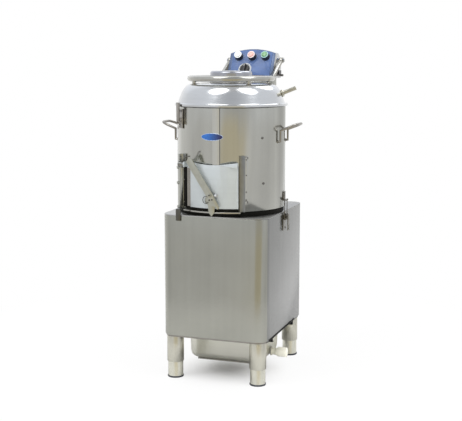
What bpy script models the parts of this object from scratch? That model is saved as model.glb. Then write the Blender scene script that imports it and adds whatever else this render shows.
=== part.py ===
"""Electric potato peeler: a drum with an abrasive disc, on a steel cabinet with four legs and a peel tray.

Lengths are in metres. The drum's axis is the reference for every place: -Y is the machine's front, +X is
to the right for someone who looks at the front, +Z is up, and the floor is at zero. An azimuth is measured
round the drum from the front, positive towards +X.
"""

import math

import bmesh
import bpy
from mathutils import Matrix, Vector

MM = 0.001

# Clearances and facets
SEAT = 0.3 * MM
RUNNING = 0.5 * MM
OVERRUN = 6 * MM
MERGE = 0.01 * MM
DRUM_STEPS = 40
SMALL_STEPS = 16
FINE_STEPS = 20
CORNER_STEPS = 4
SMOOTH_ANGLE = math.radians(32)

# Stand
LEG_CLEARANCE = 163 * MM
LEG_RADIUS = 31 * MM
LEG_INSET_SIDE = 40 * MM
LEG_INSET_END = 34 * MM
FOOT_RADIUS = 28 * MM
FOOT_HEIGHT = 60 * MM
FOOT_SPIGOT = 45 * MM
PAD_OVERHANG = 2 * MM
PAD_HEIGHT = 6 * MM
BASE_THICKNESS = 5 * MM
BASE_INSET = 3 * MM

# Drum
DRUM_RADIUS = 200 * MM
DRUM_WALL = 2 * MM
DRUM_HEIGHT = 369 * MM
DRUM_GASKET_HEIGHT = 18 * MM
DRUM_GASKET_INSET = 4 * MM
DRUM_GASKET_WIDTH = 26 * MM
DRUM_FLOOR_RISE = 10 * MM
DRUM_FLOOR_THICKNESS = 3 * MM
LINER_THICKNESS = 4 * MM
LINER_MARGIN = 14 * MM

# Cabinet
CABINET_LIP = 4 * MM
CABINET_HEIGHT = 448 * MM
CABINET_CORNER = 44 * MM
CABINET_WALL = 2 * MM
DECK_THICKNESS = 4 * MM
PANEL_SIDE_MARGIN = 45 * MM
PANEL_MARGIN = 36 * MM
PANEL_LAP = 14 * MM
PANEL_THICKNESS = 2 * MM
VENT_WIDTH = 90 * MM
VENT_HEIGHT = 7 * MM
VENT_PITCH = 18 * MM
VENT_COUNT = 5
GLAND_RADIUS = 10 * MM
GLAND_REACH = 24 * MM
GLAND_OFFSET_SHARE = 0.6
GLAND_NOSE_SHARE = 0.8
GLAND_NUT_SHARE = 0.4

# Drive
DISC_GAP = 6 * MM
DISC_THICKNESS = 10 * MM
DISC_RISE = 13 * MM
WAVE_HEIGHT = 9 * MM
WAVE_COUNT = 3
WAVE_CREST_SHARE = 0.75
DISC_RING_SHARES = (1.0, 0.82, 0.6, 0.36, 0.16)
HUB_RADIUS = 30 * MM
SPINDLE_RADIUS = 12 * MM
NECK_RADIUS = 18 * MM
BEARING_RADIUS = 36 * MM
BEARING_FLANGE = 60 * MM
BEARING_LENGTH = 96 * MM
BEARING_FLANGE_THICKNESS = 9 * MM
PULLEY_RADIUS = 80 * MM
PULLEY_WIDTH = 22 * MM
PULLEY_WEB = 9 * MM
PULLEY_RIM = 18 * MM
PULLEY_DROP = 10 * MM
GROOVE_DEPTH = 9 * MM
BELT_WIDTH = 9 * MM
BELT_INSET = 1.5 * MM
MOTOR_PULLEY_RADIUS = 32 * MM
MOTOR_BACK = 150 * MM
MOTOR_RADIUS = 66 * MM
MOTOR_SHAFT_RADIUS = 9 * MM
MOTOR_SHAFT_LENGTH = 42 * MM
MOTOR_FIN = 5 * MM
MOTOR_FIN_COUNT = 3
MOTOR_FOOT = 8 * MM
DRAIN_RADIUS = 25 * MM
DRAIN_WALL = 2 * MM
DRAIN_LEFT_SHARE = 0.58
DRAIN_BACK_SHARE = 0.1
DRAIN_END = 9 * MM

# Discharge opening, its frame and its door
OPENING_HALF_ANGLE = math.radians(24.5)
OPENING_RISE = 15 * MM
OPENING_HEIGHT = 148 * MM
SEAL_ANGLES = (math.radians(-34.5), math.radians(26.6))
SEAL_THICKNESS = 2.4 * MM
SEAL_TOP_GAP = 4 * MM
SEAL_BOTTOM_RISE = 0.6 * MM
DOOR_HALF_ANGLE = math.radians(26)
DOOR_STANDOFF = 4 * MM
DOOR_THICKNESS = 3 * MM
DOOR_RISE = 11 * MM
DOOR_HEIGHT = 164 * MM
DOOR_DIP = 9 * MM
DOOR_EAR_ANGLE = math.radians(-30.5)
DOOR_EAR_HEIGHT = 24 * MM
DOOR_EAR_ROOT_SHARE = 0.9
LIP_START_SHARE = 0.14
LIP_END_SHARE = 0.45
LIP_THICKNESS = 2.5 * MM
LIP_HEIGHT = 21 * MM
LIP_NECK_SHARE = 0.4
LIP_DIP_SHARE = 0.8
LUG_THICKNESS = 4 * MM
LUG_RADIUS = 10 * MM
LUG_SHOULDER_SHARE = 0.7
HINGE_STANDOFF = 15 * MM
HINGE_DROP = 8 * MM
HINGE_PIN_RADIUS = 4 * MM
BARREL_RADIUS = 8.5 * MM
BARREL_LENGTH = 18 * MM
BARREL_START_SHARE = 0.525
BARREL_EAR = 4 * MM
JAMB_TOP = 199 * MM
JAMB_LEFT_ANGLES = (math.radians(-44), math.radians(-40), math.radians(-35.3))
JAMB_LEFT_STANDOFF = 18 * MM
JAMB_RIGHT_ANGLES = (math.radians(27.2), math.radians(32.5), math.radians(36))
JAMB_RIGHT_STANDOFF = 12 * MM
JAMB_FLANGE = 3.5 * MM
JAMB_BAR_INSET = math.radians(0.1)
JAMB_FLANGE_RISE = 33 * MM
JAMB_BOLT_RADIUS = 6 * MM
JAMB_BOLT_HEIGHT = 5 * MM
JAMB_BOLT_SHARES = (0.03, 0.47, 0.75)
CLIP_LEFT_SHARE = 0.7
CLIP_RIGHT_SHARE = 0.61
CLIP_THICKNESS = 3 * MM
CLIP_DROP = 20 * MM
CLIP_RISE = 0.9 * MM
SILL_THICKNESS = 5 * MM
SILL_REACH = 12 * MM
SILL_ANGLES = (math.radians(-36), math.radians(28))

# Door lever: places as a share of the drum's radius from its middle plane, and from its lower edge
LEVER_WIDTH = 24 * MM
LEVER_TIP_WIDTH = 12 * MM
LEVER_THICKNESS = 5 * MM
LEVER_TOP_SHARE = -0.43
LEVER_TOP_RISE = 186 * MM
LEVER_BOLT_SHARE = -0.025
LEVER_BOLT_RISE = 59 * MM
LEVER_TIP_SHARE = 0.14
LEVER_TIP_RISE = 13 * MM
LEVER_ROUNDING = 7 * MM
BOSS_RADIUS = 17 * MM
BOSS_HEIGHT = 9 * MM
BOSS_SHARE = -0.04
BOSS_RISE = 42 * MM
BOLT_RADIUS = 7 * MM
BOLT_HEIGHT = 6 * MM
STEM_SHARE = 0.8
TONGUE_WIDTH = 26 * MM
TONGUE_THICKNESS = 3 * MM
TONGUE_SHOULDER = 10 * MM
TONGUE_DROP = 13 * MM
TONGUE_WAIST_SHARE = 0.8

# Drum handles
HANDLE_RADIUS = 5 * MM
HANDLE_STANDOFF = 7.5 * MM
HANDLE_HALF_WIDTH = 47 * MM
HANDLE_FOOT = 126 * MM
HANDLE_STRAIGHT = 39 * MM
HANDLE_REACH = 57 * MM
HANDLE_SLOPE = math.radians(22)
HANDLE_CORNER = 24 * MM

# Toggle latches between drum and cabinet, one on each side
TOGGLE_BACK = 15 * MM
TOGGLE_PLATE = 2 * MM
TOGGLE_HALF_WIDTH = 20 * MM
TOGGLE_TOP = 4 * MM
TOGGLE_HEIGHT = 66 * MM
TOGGLE_EAR = 2 * MM
TOGGLE_EAR_RADIUS = 3.8 * MM
TOGGLE_EAR_ROOT = 8 * MM
TOGGLE_AXIS_STANDOFF = 12 * MM
TOGGLE_AXIS_DROP = 15 * MM
TOGGLE_PIN_RADIUS = 2 * MM
CHEEK_RADIUS = 5.5 * MM
CHEEK_THICKNESS = 2 * MM
LEVER_HALF_WIDTH = 12.2 * MM
LEVER_FACE_GAP = 4.7 * MM
TOGGLE_LEVER_LENGTH = 55 * MM
FORK_WIDTH = 9 * MM
FORK_DEPTH = 20 * MM
BAIL_OFFSET = 12 * MM
BAIL_INSET = 4.1 * MM
BAIL_LENGTH = 72 * MM
BAIL_RADIUS = 1.6 * MM
BAIL_HALF_WIDTH = 15 * MM
KEEPER_HALF_WIDTH = 12 * MM
KEEPER_HOOK_HALF_WIDTH = 9 * MM
KEEPER_HEIGHT = 34 * MM
KEEPER_THICKNESS = 2 * MM
KEEPER_PLAY = 2.6 * MM

# Lid
LID_RISE = 83 * MM
LID_WALL = 1.8 * MM
LID_DOME_SHARES = (
    (0.0, 1.0), (0.58, 0.99), (0.73, 0.962), (0.805, 0.91), (0.865, 0.771),
    (0.91, 0.61), (0.94, 0.43), (0.965, 0.265), (0.985, 0.12),
)
BRIM_OVERHANG = 8.5 * MM
BRIM_HEIGHT = 8 * MM
BRIM_BEND = 2 * MM
LID_SEAL_WIDTH = 5 * MM
CAP_RADIUS_SHARE = 0.39
CAP_HEIGHT = 42 * MM
CAP_ROUNDING = 8 * MM
RING_RADIUS_SHARE = 0.76
RING_TUBE = 10.5 * MM
RING_RISE = 15 * MM
RING_STEPS = 32
POST_RADIUS = 7 * MM
POST_ANGLE = math.radians(43)
ARM_OFFSET = 105 * MM
ARM_TUBE = 7 * MM
ARM_LEVEL_END = 172 * MM
EYE_RADIUS = 11 * MM
EYE_WIDTH = 16 * MM
LID_PIN_RADIUS = 5 * MM
LID_PIN_HEAD = 3 * MM
LID_PIN_HEAD_SHARE = 0.7
INLET_AZIMUTH = math.radians(105)
INLET_SEGMENT = 5
INLET_COLLAR_RADIUS = 13 * MM
INLET_COLLAR_LENGTH = 9 * MM
INLET_CHAMFER_SHARE = 0.6
INLET_RADIUS = 7.3 * MM
INLET_BORE = 5 * MM
INLET_LENGTH = 56 * MM

# Lid latch
LATCH_AZIMUTH = math.radians(-45)
LATCH_HALF_WIDTH = 15 * MM
LATCH_PLATE = 3 * MM
LATCH_DROP = 9 * MM
LATCH_HEIGHT = 70 * MM
LATCH_EAR = 3 * MM
LATCH_EAR_HEIGHT = 20 * MM
LATCH_EAR_REACH = 4.5 * MM
LATCH_AXIS_STANDOFF = 9 * MM
LATCH_AXIS_RISE = 26 * MM
LATCH_PIN_RADIUS = 2.5 * MM
LATCH_LEVER_THICKNESS = 4 * MM
LATCH_LEVER_TOP = 13 * MM
LATCH_NOSE = 3 * MM

# Controls
COLUMN_GAP = 9 * MM
COLUMN_HALF_WIDTH = 92 * MM
COLUMN_DEPTH = 58 * MM
COLUMN_WALL = 2 * MM
COLUMN_CORNER = 8 * MM
CABINET_BEHIND = 6 * MM
HOUSING_RISE = 96 * MM
HOUSING_HEIGHT = 111 * MM
HOUSING_FORWARD = 9 * MM
HOUSING_DEPTH = 122 * MM
HOUSING_BACK_HEIGHT = 72 * MM
HOUSING_CORNER_HEIGHT = 95 * MM
HOUSING_WALL = 2.5 * MM
FACE_TILT = math.radians(28)
ARCH_STEPS = 10
FACE_PLATE = 2 * MM
FACE_SIDE_MARGIN = 12 * MM
FACE_TOP_MARGIN = 3 * MM
FACE_BOTTOM_MARGIN = 8 * MM
BUTTON_PITCH = 54 * MM
BUTTON_RISE = 91 * MM
BUTTON_RADIUS = 10.5 * MM
BUTTON_REACH = 24 * MM
BUTTON_DEPTH = 9 * MM
BUTTON_ROUNDING = 2.5 * MM
COLLAR_WIDTH = 4 * MM
COLLAR_HEIGHT = 19 * MM
KNOB_OFFSET = -22 * MM
KNOB_RISE = 37 * MM
DIAL_RADIUS = 25 * MM
DIAL_THICKNESS = 2 * MM
KNOB_RADIUS = 19 * MM
KNOB_BASE = 5 * MM
KNOB_CREST_SHARE = 0.94
KNOB_CHAMFER_SHARE = 0.6
KNOB_GRIP_SHARE = 0.92
KNOB_GRIP_WIDTH = 9 * MM
KNOB_GRIP_HEIGHT = 12 * MM
LID_HINGE_RISE = 68 * MM
LID_HINGE_BACK = 73 * MM

# Peel tray
TRAY_LENGTH = 325 * MM
TRAY_WIDTH = 265 * MM
TRAY_RIM = 14 * MM
TRAY_DEPTH = 100 * MM
TRAY_DROP = 18 * MM
TRAY_DRAFT = 3 * MM
TRAY_CORNER = 40 * MM
TRAY_BASE_RADIUS = 24 * MM
TRAY_BASE_STEPS = 3
TRAY_WALL = 1.2 * MM
TRAY_BACK = 37 * MM
RAIL_THICKNESS = 2.5 * MM
RAIL_LEDGE = 12 * MM
RAIL_GAP = 2 * MM
RAIL_OVERHANG = 32 * MM
TAP_RISE = 22 * MM
TAP_SEAL_RADIUS = 17 * MM
TAP_SEAL_THICKNESS = 4 * MM
TAP_BORE = 8 * MM
TAP_NUT_RADIUS = 15 * MM
TAP_NUT_LENGTH = 6 * MM
TAP_BODY_RADIUS = 13 * MM
TAP_BODY_LENGTH = 24 * MM
TAP_NECK_RADIUS = 10 * MM
TAP_KNOB_RADIUS = 19 * MM
TAP_KNOB_LENGTH = 34 * MM
TAP_KNOB_LOBES = 6
LOBE_STEPS = 4
LOBE_DEPTH_SHARE = 0.1

# Heights and places worked out from the sizes above
BASE_TOP = LEG_CLEARANCE - SEAT
BASE_BOTTOM = BASE_TOP - BASE_THICKNESS
CABINET_TOP = LEG_CLEARANCE + CABINET_HEIGHT
CABINET_HALF_WIDTH = DRUM_RADIUS
CABINET_FRONT = -(DRUM_RADIUS + CABINET_LIP)
DECK_BOTTOM = CABINET_TOP - DECK_THICKNESS
DRUM_BOTTOM = CABINET_TOP + SEAT + DRUM_GASKET_HEIGHT + SEAT
DRUM_TOP = DRUM_BOTTOM + DRUM_HEIGHT
DRUM_BORE = DRUM_RADIUS - DRUM_WALL
FLOOR_BOTTOM = DRUM_BOTTOM + DRUM_FLOOR_RISE
FLOOR_TOP = FLOOR_BOTTOM + DRUM_FLOOR_THICKNESS
LINER_BORE = DRUM_BORE - SEAT - LINER_THICKNESS
DISC_RADIUS = LINER_BORE - DISC_GAP
DISC_BOTTOM = FLOOR_TOP + DISC_RISE
DISC_TOP = DISC_BOTTOM + DISC_THICKNESS
NECK_TOP = FLOOR_TOP + DISC_RISE / 2
BEARING_BOTTOM = DECK_BOTTOM - SEAT - BEARING_LENGTH
PULLEY_TOP = BEARING_BOTTOM - PULLEY_DROP
PULLEY_BOTTOM = PULLEY_TOP - PULLEY_WIDTH
BELT_HEIGHT = (PULLEY_TOP + PULLEY_BOTTOM) / 2
MOTOR_BOTTOM = LEG_CLEARANCE
MOTOR_TOP = PULLEY_BOTTOM - MOTOR_SHAFT_LENGTH
DRAIN_PLACE = (-DRAIN_LEFT_SHARE * DRUM_RADIUS, DRAIN_BACK_SHARE * DRUM_RADIUS)
COLUMN_FRONT = DRUM_RADIUS + BRIM_OVERHANG + COLUMN_GAP
COLUMN_BACK = COLUMN_FRONT + COLUMN_DEPTH
CABINET_BACK = COLUMN_BACK + CABINET_BEHIND
CABINET_DEPTH = CABINET_BACK - CABINET_FRONT
CABINET_MIDDLE = (CABINET_BACK + CABINET_FRONT) / 2
PANEL_HALF_WIDTH = CABINET_HALF_WIDTH - PANEL_SIDE_MARGIN
LEG_X = CABINET_HALF_WIDTH - LEG_INSET_SIDE
LEG_FRONT = CABINET_FRONT + LEG_INSET_END
LEG_BACK = CABINET_BACK - LEG_INSET_END
LID_TOP = DRUM_TOP + LID_RISE
CAP_RADIUS = CAP_RADIUS_SHARE * DRUM_RADIUS
RING_RADIUS = RING_RADIUS_SHARE * DRUM_RADIUS
HOUSING_BOTTOM = DRUM_TOP + HOUSING_RISE
HOUSING_TOP = HOUSING_BOTTOM + HOUSING_HEIGHT
HOUSING_FRONT = COLUMN_FRONT - HOUSING_FORWARD
HOUSING_BACK = HOUSING_FRONT + HOUSING_DEPTH
LID_HINGE = Vector((0, COLUMN_FRONT + LID_HINGE_BACK, HOUSING_BOTTOM + LID_HINGE_RISE))
DOOR_INNER = DRUM_RADIUS + DOOR_STANDOFF
DOOR_OUTER = DOOR_INNER + DOOR_THICKNESS
DOOR_BOTTOM = DRUM_BOTTOM + DOOR_RISE
DOOR_TOP = DOOR_BOTTOM + DOOR_HEIGHT
LIP_START = LIP_START_SHARE * DRUM_RADIUS
LIP_END = LIP_END_SHARE * DRUM_RADIUS
BARREL_START = BARREL_START_SHARE * DRUM_RADIUS
DOOR_HINGE = Vector((0, -DRUM_RADIUS - HINGE_STANDOFF, DOOR_TOP - HINGE_DROP))
LEVER_BACK = DOOR_OUTER + SEAT + BOSS_HEIGHT
BOLT_FRONT = LEVER_BACK + LEVER_THICKNESS + BOLT_HEIGHT
TRAY_TOP = LEG_CLEARANCE - TRAY_DROP
TRAY_BOTTOM = TRAY_TOP - TRAY_DEPTH
TRAY_BODY_LENGTH = TRAY_LENGTH - 2 * TRAY_RIM
TRAY_BODY_WIDTH = TRAY_WIDTH - 2 * TRAY_RIM
TRAY_WALL_X = TRAY_BODY_LENGTH / 2 - TRAY_DRAFT
TAP_HEIGHT = TRAY_BOTTOM + TAP_RISE
TOGGLE_AXIS_HEIGHT = CABINET_TOP - TOGGLE_AXIS_DROP
TOGGLE_AXIS_REACH = CABINET_HALF_WIDTH + TOGGLE_AXIS_STANDOFF
BAIL_REACH = TOGGLE_AXIS_REACH - BAIL_INSET
BAIL_LOW = TOGGLE_AXIS_HEIGHT - BAIL_OFFSET
BAIL_TOP = BAIL_LOW + BAIL_LENGTH

# The origin lies under the middle of the machine's whole depth
DRUM_Y = (BOLT_FRONT - HOUSING_BACK) / 2

# Rotations that lay a flat outline's plane upright
ALONG_X = (math.radians(90), 0, math.radians(90))
ALONG_Y = (math.radians(90), 0, 0)
FLAT = (0, 0, 0)

STEEL = ("brushed_stainless", (0.62, 0.62, 0.61), 0.38, 1.0)
POLISHED = ("polished_stainless", (0.72, 0.72, 0.72), 0.18, 1.0)
DULL_STEEL = ("dull_steel", (0.42, 0.42, 0.42), 0.5, 1.0)
BLACK_STEEL = ("black_steel", (0.03, 0.03, 0.03), 0.5, 0.0)
RUBBER = ("black_rubber", (0.015, 0.015, 0.015), 0.8, 0.0)
ABRASIVE = ("abrasive", (0.16, 0.14, 0.12), 0.95, 0.0)
CAST = ("cast_aluminium", (0.55, 0.56, 0.57), 0.5, 1.0)
MOTOR_PAINT = ("motor_paint", (0.12, 0.2, 0.3), 0.5, 0.0)
BLUE = ("blue_panel", (0.02, 0.1, 0.42), 0.35, 0.0)
WHITE_PLASTIC = ("white_plastic", (0.85, 0.85, 0.82), 0.35, 0.0)
CREAM_PLASTIC = ("cream_plastic", (0.8, 0.78, 0.68), 0.4, 0.0)
RED_PLASTIC = ("red_plastic", (0.7, 0.03, 0.03), 0.3, 0.0)
GREEN_PLASTIC = ("green_plastic", (0.02, 0.4, 0.12), 0.3, 0.0)
BLACK_PLASTIC = ("black_plastic", (0.02, 0.02, 0.022), 0.4, 0.0)

for old in list(bpy.data.objects):
    bpy.data.objects.remove(old)
parts = bpy.data.collections.new("electric_potato_peeler")
bpy.context.scene.collection.children.link(parts)


def material(finish):
    """The Principled material of a named finish, made once."""
    name, colour, roughness, metallic = finish
    made = bpy.data.materials.get(name)
    if made is None:
        made = bpy.data.materials.new(name)
        made.use_nodes = True
        shader = made.node_tree.nodes["Principled BSDF"]
        shader.inputs["Base Color"].default_value = (*colour, 1)
        shader.inputs["Roughness"].default_value = roughness
        shader.inputs["Metallic"].default_value = metallic
    return made


def empty(name, place, parent=None, rotation=FLAT):
    made = bpy.data.objects.new(name, None)
    made.location = place
    made.rotation_euler = rotation
    made.parent = parent
    parts.objects.link(made)
    return made


def link(name, mesh):
    made = bpy.data.objects.new(name, mesh)
    parts.objects.link(made)
    return made


def from_bmesh(name, shape):
    mesh = bpy.data.meshes.new(name)
    shape.to_mesh(mesh)
    shape.free()
    return link(name, mesh)


def bake(piece):
    """Applies the piece's modifiers to its mesh."""
    bpy.context.view_layer.update()
    graph = bpy.context.evaluated_depsgraph_get()
    piece.data = bpy.data.meshes.new_from_object(piece.evaluated_get(graph))
    piece.modifiers.clear()
    return piece


def meshed(source):
    """A curve object as a mesh object whose caps are welded, so that a Boolean can take it."""
    parts.objects.link(source)
    bpy.context.view_layer.update()
    graph = bpy.context.evaluated_depsgraph_get()
    mesh = bpy.data.meshes.new_from_object(source.evaluated_get(graph))
    shape = bmesh.new()
    shape.from_mesh(mesh)
    bmesh.ops.remove_doubles(shape, verts=shape.verts, dist=MERGE)
    bmesh.ops.recalc_face_normals(shape, faces=shape.faces)
    shape.to_mesh(mesh)
    shape.free()
    name, place = source.name, source.matrix_world.copy()
    bpy.data.objects.remove(source)
    made = link(name, mesh)
    made.matrix_world = place
    return made


def combine(piece, tool, operation):
    """Joins the tool to the piece, or cuts it out of it, and removes the tool."""
    boolean = piece.modifiers.new("Combine", "BOOLEAN")
    boolean.object = tool
    boolean.operation = operation
    boolean.solver = "EXACT"
    bake(piece)
    bpy.data.objects.remove(tool)
    return piece


def unite(piece, *others):
    for other in others:
        combine(piece, other, "UNION")
    return piece


def cut(piece, *tools):
    for tool in tools:
        combine(piece, tool, "DIFFERENCE")
    return piece


def bevelled(piece, width, segments=1, angle=math.radians(40)):
    """Rounds the piece's sharp edges."""
    bevel = piece.modifiers.new("Edges", "BEVEL")
    bevel.width = width
    bevel.segments = segments
    bevel.limit_method = "ANGLE"
    bevel.angle_limit = angle
    return bake(piece)


def finished(piece, finish, parent, pivot=False):
    """Shades and colours a piece, and hangs it on its parent. A pivot's place is taken off the piece's."""
    piece.data.shade_smooth()
    piece.data.set_sharp_from_angle(angle=SMOOTH_ANGLE)
    piece.data.materials.clear()
    piece.data.materials.append(material(finish))
    piece.parent = parent
    if pivot:
        piece.location -= parent.location
    return piece


def carried_round(piece, azimuth):
    """Carries a piece that was built at the drum's front round the drum's axis."""
    piece.matrix_basis = Matrix.Rotation(azimuth, 4, "Z") @ piece.matrix_basis
    return piece


def round_point(radius, azimuth, height):
    return Vector((radius * math.sin(azimuth), -radius * math.cos(azimuth), height))


def block(name, low, high):
    """A box between its lowest and its highest corner."""
    low, high = Vector(low), Vector(high)
    shape = bmesh.new()
    bmesh.ops.create_cube(shape, size=1)
    bmesh.ops.scale(shape, vec=high - low, verts=shape.verts)
    made = from_bmesh(name, shape)
    made.location = (low + high) / 2
    return made


def rod(name, start, end, radius, steps=SMALL_STEPS):
    """A straight round bar between two points."""
    start, end = Vector(start), Vector(end)
    shape = bmesh.new()
    bmesh.ops.create_cone(
        shape, cap_ends=True, segments=steps, radius1=radius, radius2=radius, depth=(end - start).length
    )
    made = from_bmesh(name, shape)
    made.location = (start + end) / 2
    made.rotation_euler = (end - start).to_track_quat("Z", "Y").to_euler()
    return made


def turned(name, profile, steps=SMALL_STEPS, closed=False, wall=0):
    """Turns (radius, height) points, which run down the outer side, about Z. A wall makes them a shell."""
    shape = bmesh.new()
    points = [shape.verts.new((radius, 0, height)) for radius, height in profile]
    for first, second in zip(points, points[1:]):
        shape.edges.new((first, second))
    if closed:
        shape.edges.new((points[-1], points[0]))
    made = from_bmesh(name, shape)
    screw = made.modifiers.new("Turn", "SCREW")
    screw.steps = steps
    screw.render_steps = steps
    screw.use_merge_vertices = True
    screw.merge_threshold = MERGE
    if wall:
        thicken(made, wall, -1)
    return bake(made)


def thicken(piece, wall, side):
    """A Solidify: side -1 puts the wall behind the surface, 1 in front of it and 0 half on each side."""
    solidify = piece.modifiers.new("Wall", "SOLIDIFY")
    solidify.thickness = wall
    solidify.offset = side
    solidify.use_even_offset = True


def ring(name, outer, inner, bottom, top, steps=DRUM_STEPS):
    return turned(name, ((outer, top), (outer, bottom), (inner, bottom), (inner, top)), steps, closed=True)


def disc(name, radius, bottom, top, steps=DRUM_STEPS):
    return turned(name, ((0, top), (radius, top), (radius, bottom), (0, bottom)), steps)


def extruded(name, outlines, thickness, place=(0, 0, 0), rotation=FLAT):
    """A flat plate centred on its plane. The outlines after the first are holes."""
    curve = bpy.data.curves.new(name, "CURVE")
    curve.dimensions = "2D"
    curve.fill_mode = "BOTH"
    curve.extrude = thickness / 2
    for outline in outlines:
        spline = curve.splines.new("POLY")
        spline.points.add(len(outline) - 1)
        spline.use_cyclic_u = True
        for point, (across, up) in zip(spline.points, outline):
            point.co = (across, up, 0, 1)
    source = bpy.data.objects.new(name, curve)
    source.location = place
    source.rotation_euler = rotation
    return meshed(source)


def bent_rod(name, points, radius, cyclic=False):
    """A round rod along points, from a curve with a bevel."""
    curve = bpy.data.curves.new(name, "CURVE")
    curve.dimensions = "3D"
    curve.bevel_depth = radius
    curve.bevel_resolution = 2
    curve.use_fill_caps = not cyclic
    spline = curve.splines.new("POLY")
    spline.points.add(len(points) - 1)
    spline.use_cyclic_u = cyclic
    for point, place in zip(spline.points, points):
        point.co = (*place, 1)
    return meshed(bpy.data.objects.new(name, curve))


def arc(centre, radius, start, end, steps):
    """Points of an arc in a plane, both ends included."""
    angles = [start + (end - start) * step / steps for step in range(steps + 1)]
    return [(centre[0] + radius * math.cos(a), centre[1] + radius * math.sin(a)) for a in angles]


def rounded_rectangle(width, depth, radius, middle=(0, 0), steps=CORNER_STEPS):
    """An outline with round corners."""
    quarter = math.pi / 2
    outline = []
    for corner, (side_x, side_y) in enumerate(((1, 1), (-1, 1), (-1, -1), (1, -1))):
        centre = (
            middle[0] + side_x * (width / 2 - radius),
            middle[1] + side_y * (depth / 2 - radius),
        )
        outline += arc(centre, radius, corner * quarter, (corner + 1) * quarter, steps)
    return outline


def capsule(first, second, radius, steps=CORNER_STEPS):
    """The outline of a bar with round ends between two points."""
    lean = math.atan2(second[1] - first[1], second[0] - first[0])
    quarter = math.pi / 2
    return (
        arc(second, radius, lean - quarter, lean + quarter, steps)
        + arc(first, radius, lean + quarter, lean + 3 * quarter, steps)
    )


def circle(radius, middle=(0, 0), steps=SMALL_STEPS):
    return arc(middle, radius, 0, 2 * math.pi, steps)[:-1]


def bent_plate(name, inner, outer, azimuths, bottom, top, columns):
    """A plate bent round the drum between two azimuths. Bottom and top are functions of the azimuth."""
    start, end = azimuths
    middle = (inner + outer) / 2
    shape = bmesh.new()
    bmesh.ops.create_grid(shape, x_segments=columns, y_segments=1, size=0.5)
    for vert in shape.verts:
        azimuth = start + (end - start) * (vert.co.x + 0.5)
        height = top(azimuth) if vert.co.y > 0 else bottom(azimuth)
        vert.co = round_point(middle, azimuth, height)
    made = from_bmesh(name, shape)
    thicken(made, outer - inner, 0)
    return bake(made)


def level(height):
    return lambda azimuth: height


def loft(name, outlines, wall):
    """A pan: outlines at their heights are joined in turn, the last is filled, and the sheet gets a wall."""
    shape = bmesh.new()
    rings = []
    for outline, height in outlines:
        rings.append([shape.verts.new((x, y, height)) for x, y in outline])
    for upper, lower in zip(rings, rings[1:]):
        for index, vert in enumerate(upper):
            following = (index + 1) % len(upper)
            shape.faces.new((vert, upper[following], lower[following], lower[index]))
    shape.faces.new(rings[-1])
    bmesh.ops.recalc_face_normals(shape, faces=shape.faces)
    made = from_bmesh(name, shape)
    thicken(made, wall, 0)
    return bake(made)


def ribbon(centres, widths):
    """The outline of a flat bar along centres in a plane, with its width at each of them."""
    centres = [Vector(centre) for centre in centres]
    left, right = [], []
    for index, (centre, width) in enumerate(zip(centres, widths)):
        before = centres[max(index - 1, 0)]
        after = centres[min(index + 1, len(centres) - 1)]
        along = (after - before).normalized()
        across = Vector((-along.y, along.x)) * width / 2
        left.append(centre + across)
        right.append(centre - across)
    return [tuple(point) for point in left + right[::-1]]


machine = empty("peeler", (0, DRUM_Y, 0))


def build_stand():
    """Leg tubes, adjustable feet and the base plate that the legs carry."""
    spigot_top = FOOT_HEIGHT + FOOT_SPIGOT
    bore = FOOT_RADIUS + RUNNING
    leg_top = BASE_BOTTOM - SEAT
    for side_name, side in (("left", -1), ("right", 1)):
        for end_name, place_y in (("front", LEG_FRONT), ("rear", LEG_BACK)):
            place = Vector((side * LEG_X, place_y, 0))
            leg = turned(f"leg_{end_name}_{side_name}", (
                (0, leg_top), (LEG_RADIUS, leg_top), (LEG_RADIUS, FOOT_HEIGHT), (bore, FOOT_HEIGHT),
                (bore, spigot_top + SEAT), (0, spigot_top + SEAT),
            ), SMALL_STEPS)
            leg.location = place
            finished(leg, STEEL, machine)
            pad_radius = FOOT_RADIUS + PAD_OVERHANG
            foot = turned(f"foot_{end_name}_{side_name}", (
                (0, spigot_top), (FOOT_RADIUS, spigot_top), (FOOT_RADIUS, PAD_HEIGHT),
                (pad_radius, PAD_HEIGHT), (pad_radius, 0), (0, 0),
            ), SMALL_STEPS)
            foot.location = place
            slide = empty(f"foot_{end_name}_{side_name}_slide", place, machine)
            finished(foot, STEEL, slide, pivot=True)
    outline = rounded_rectangle(
        2 * (CABINET_HALF_WIDTH - BASE_INSET), CABINET_DEPTH - 2 * BASE_INSET,
        CABINET_CORNER - BASE_INSET, (0, CABINET_MIDDLE),
    )
    drain = circle(DRAIN_RADIUS + RUNNING, DRAIN_PLACE)
    base = extruded("base_plate", (outline, drain), BASE_THICKNESS, (0, 0, (BASE_TOP + BASE_BOTTOM) / 2))
    finished(base, BLACK_STEEL, machine)


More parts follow.
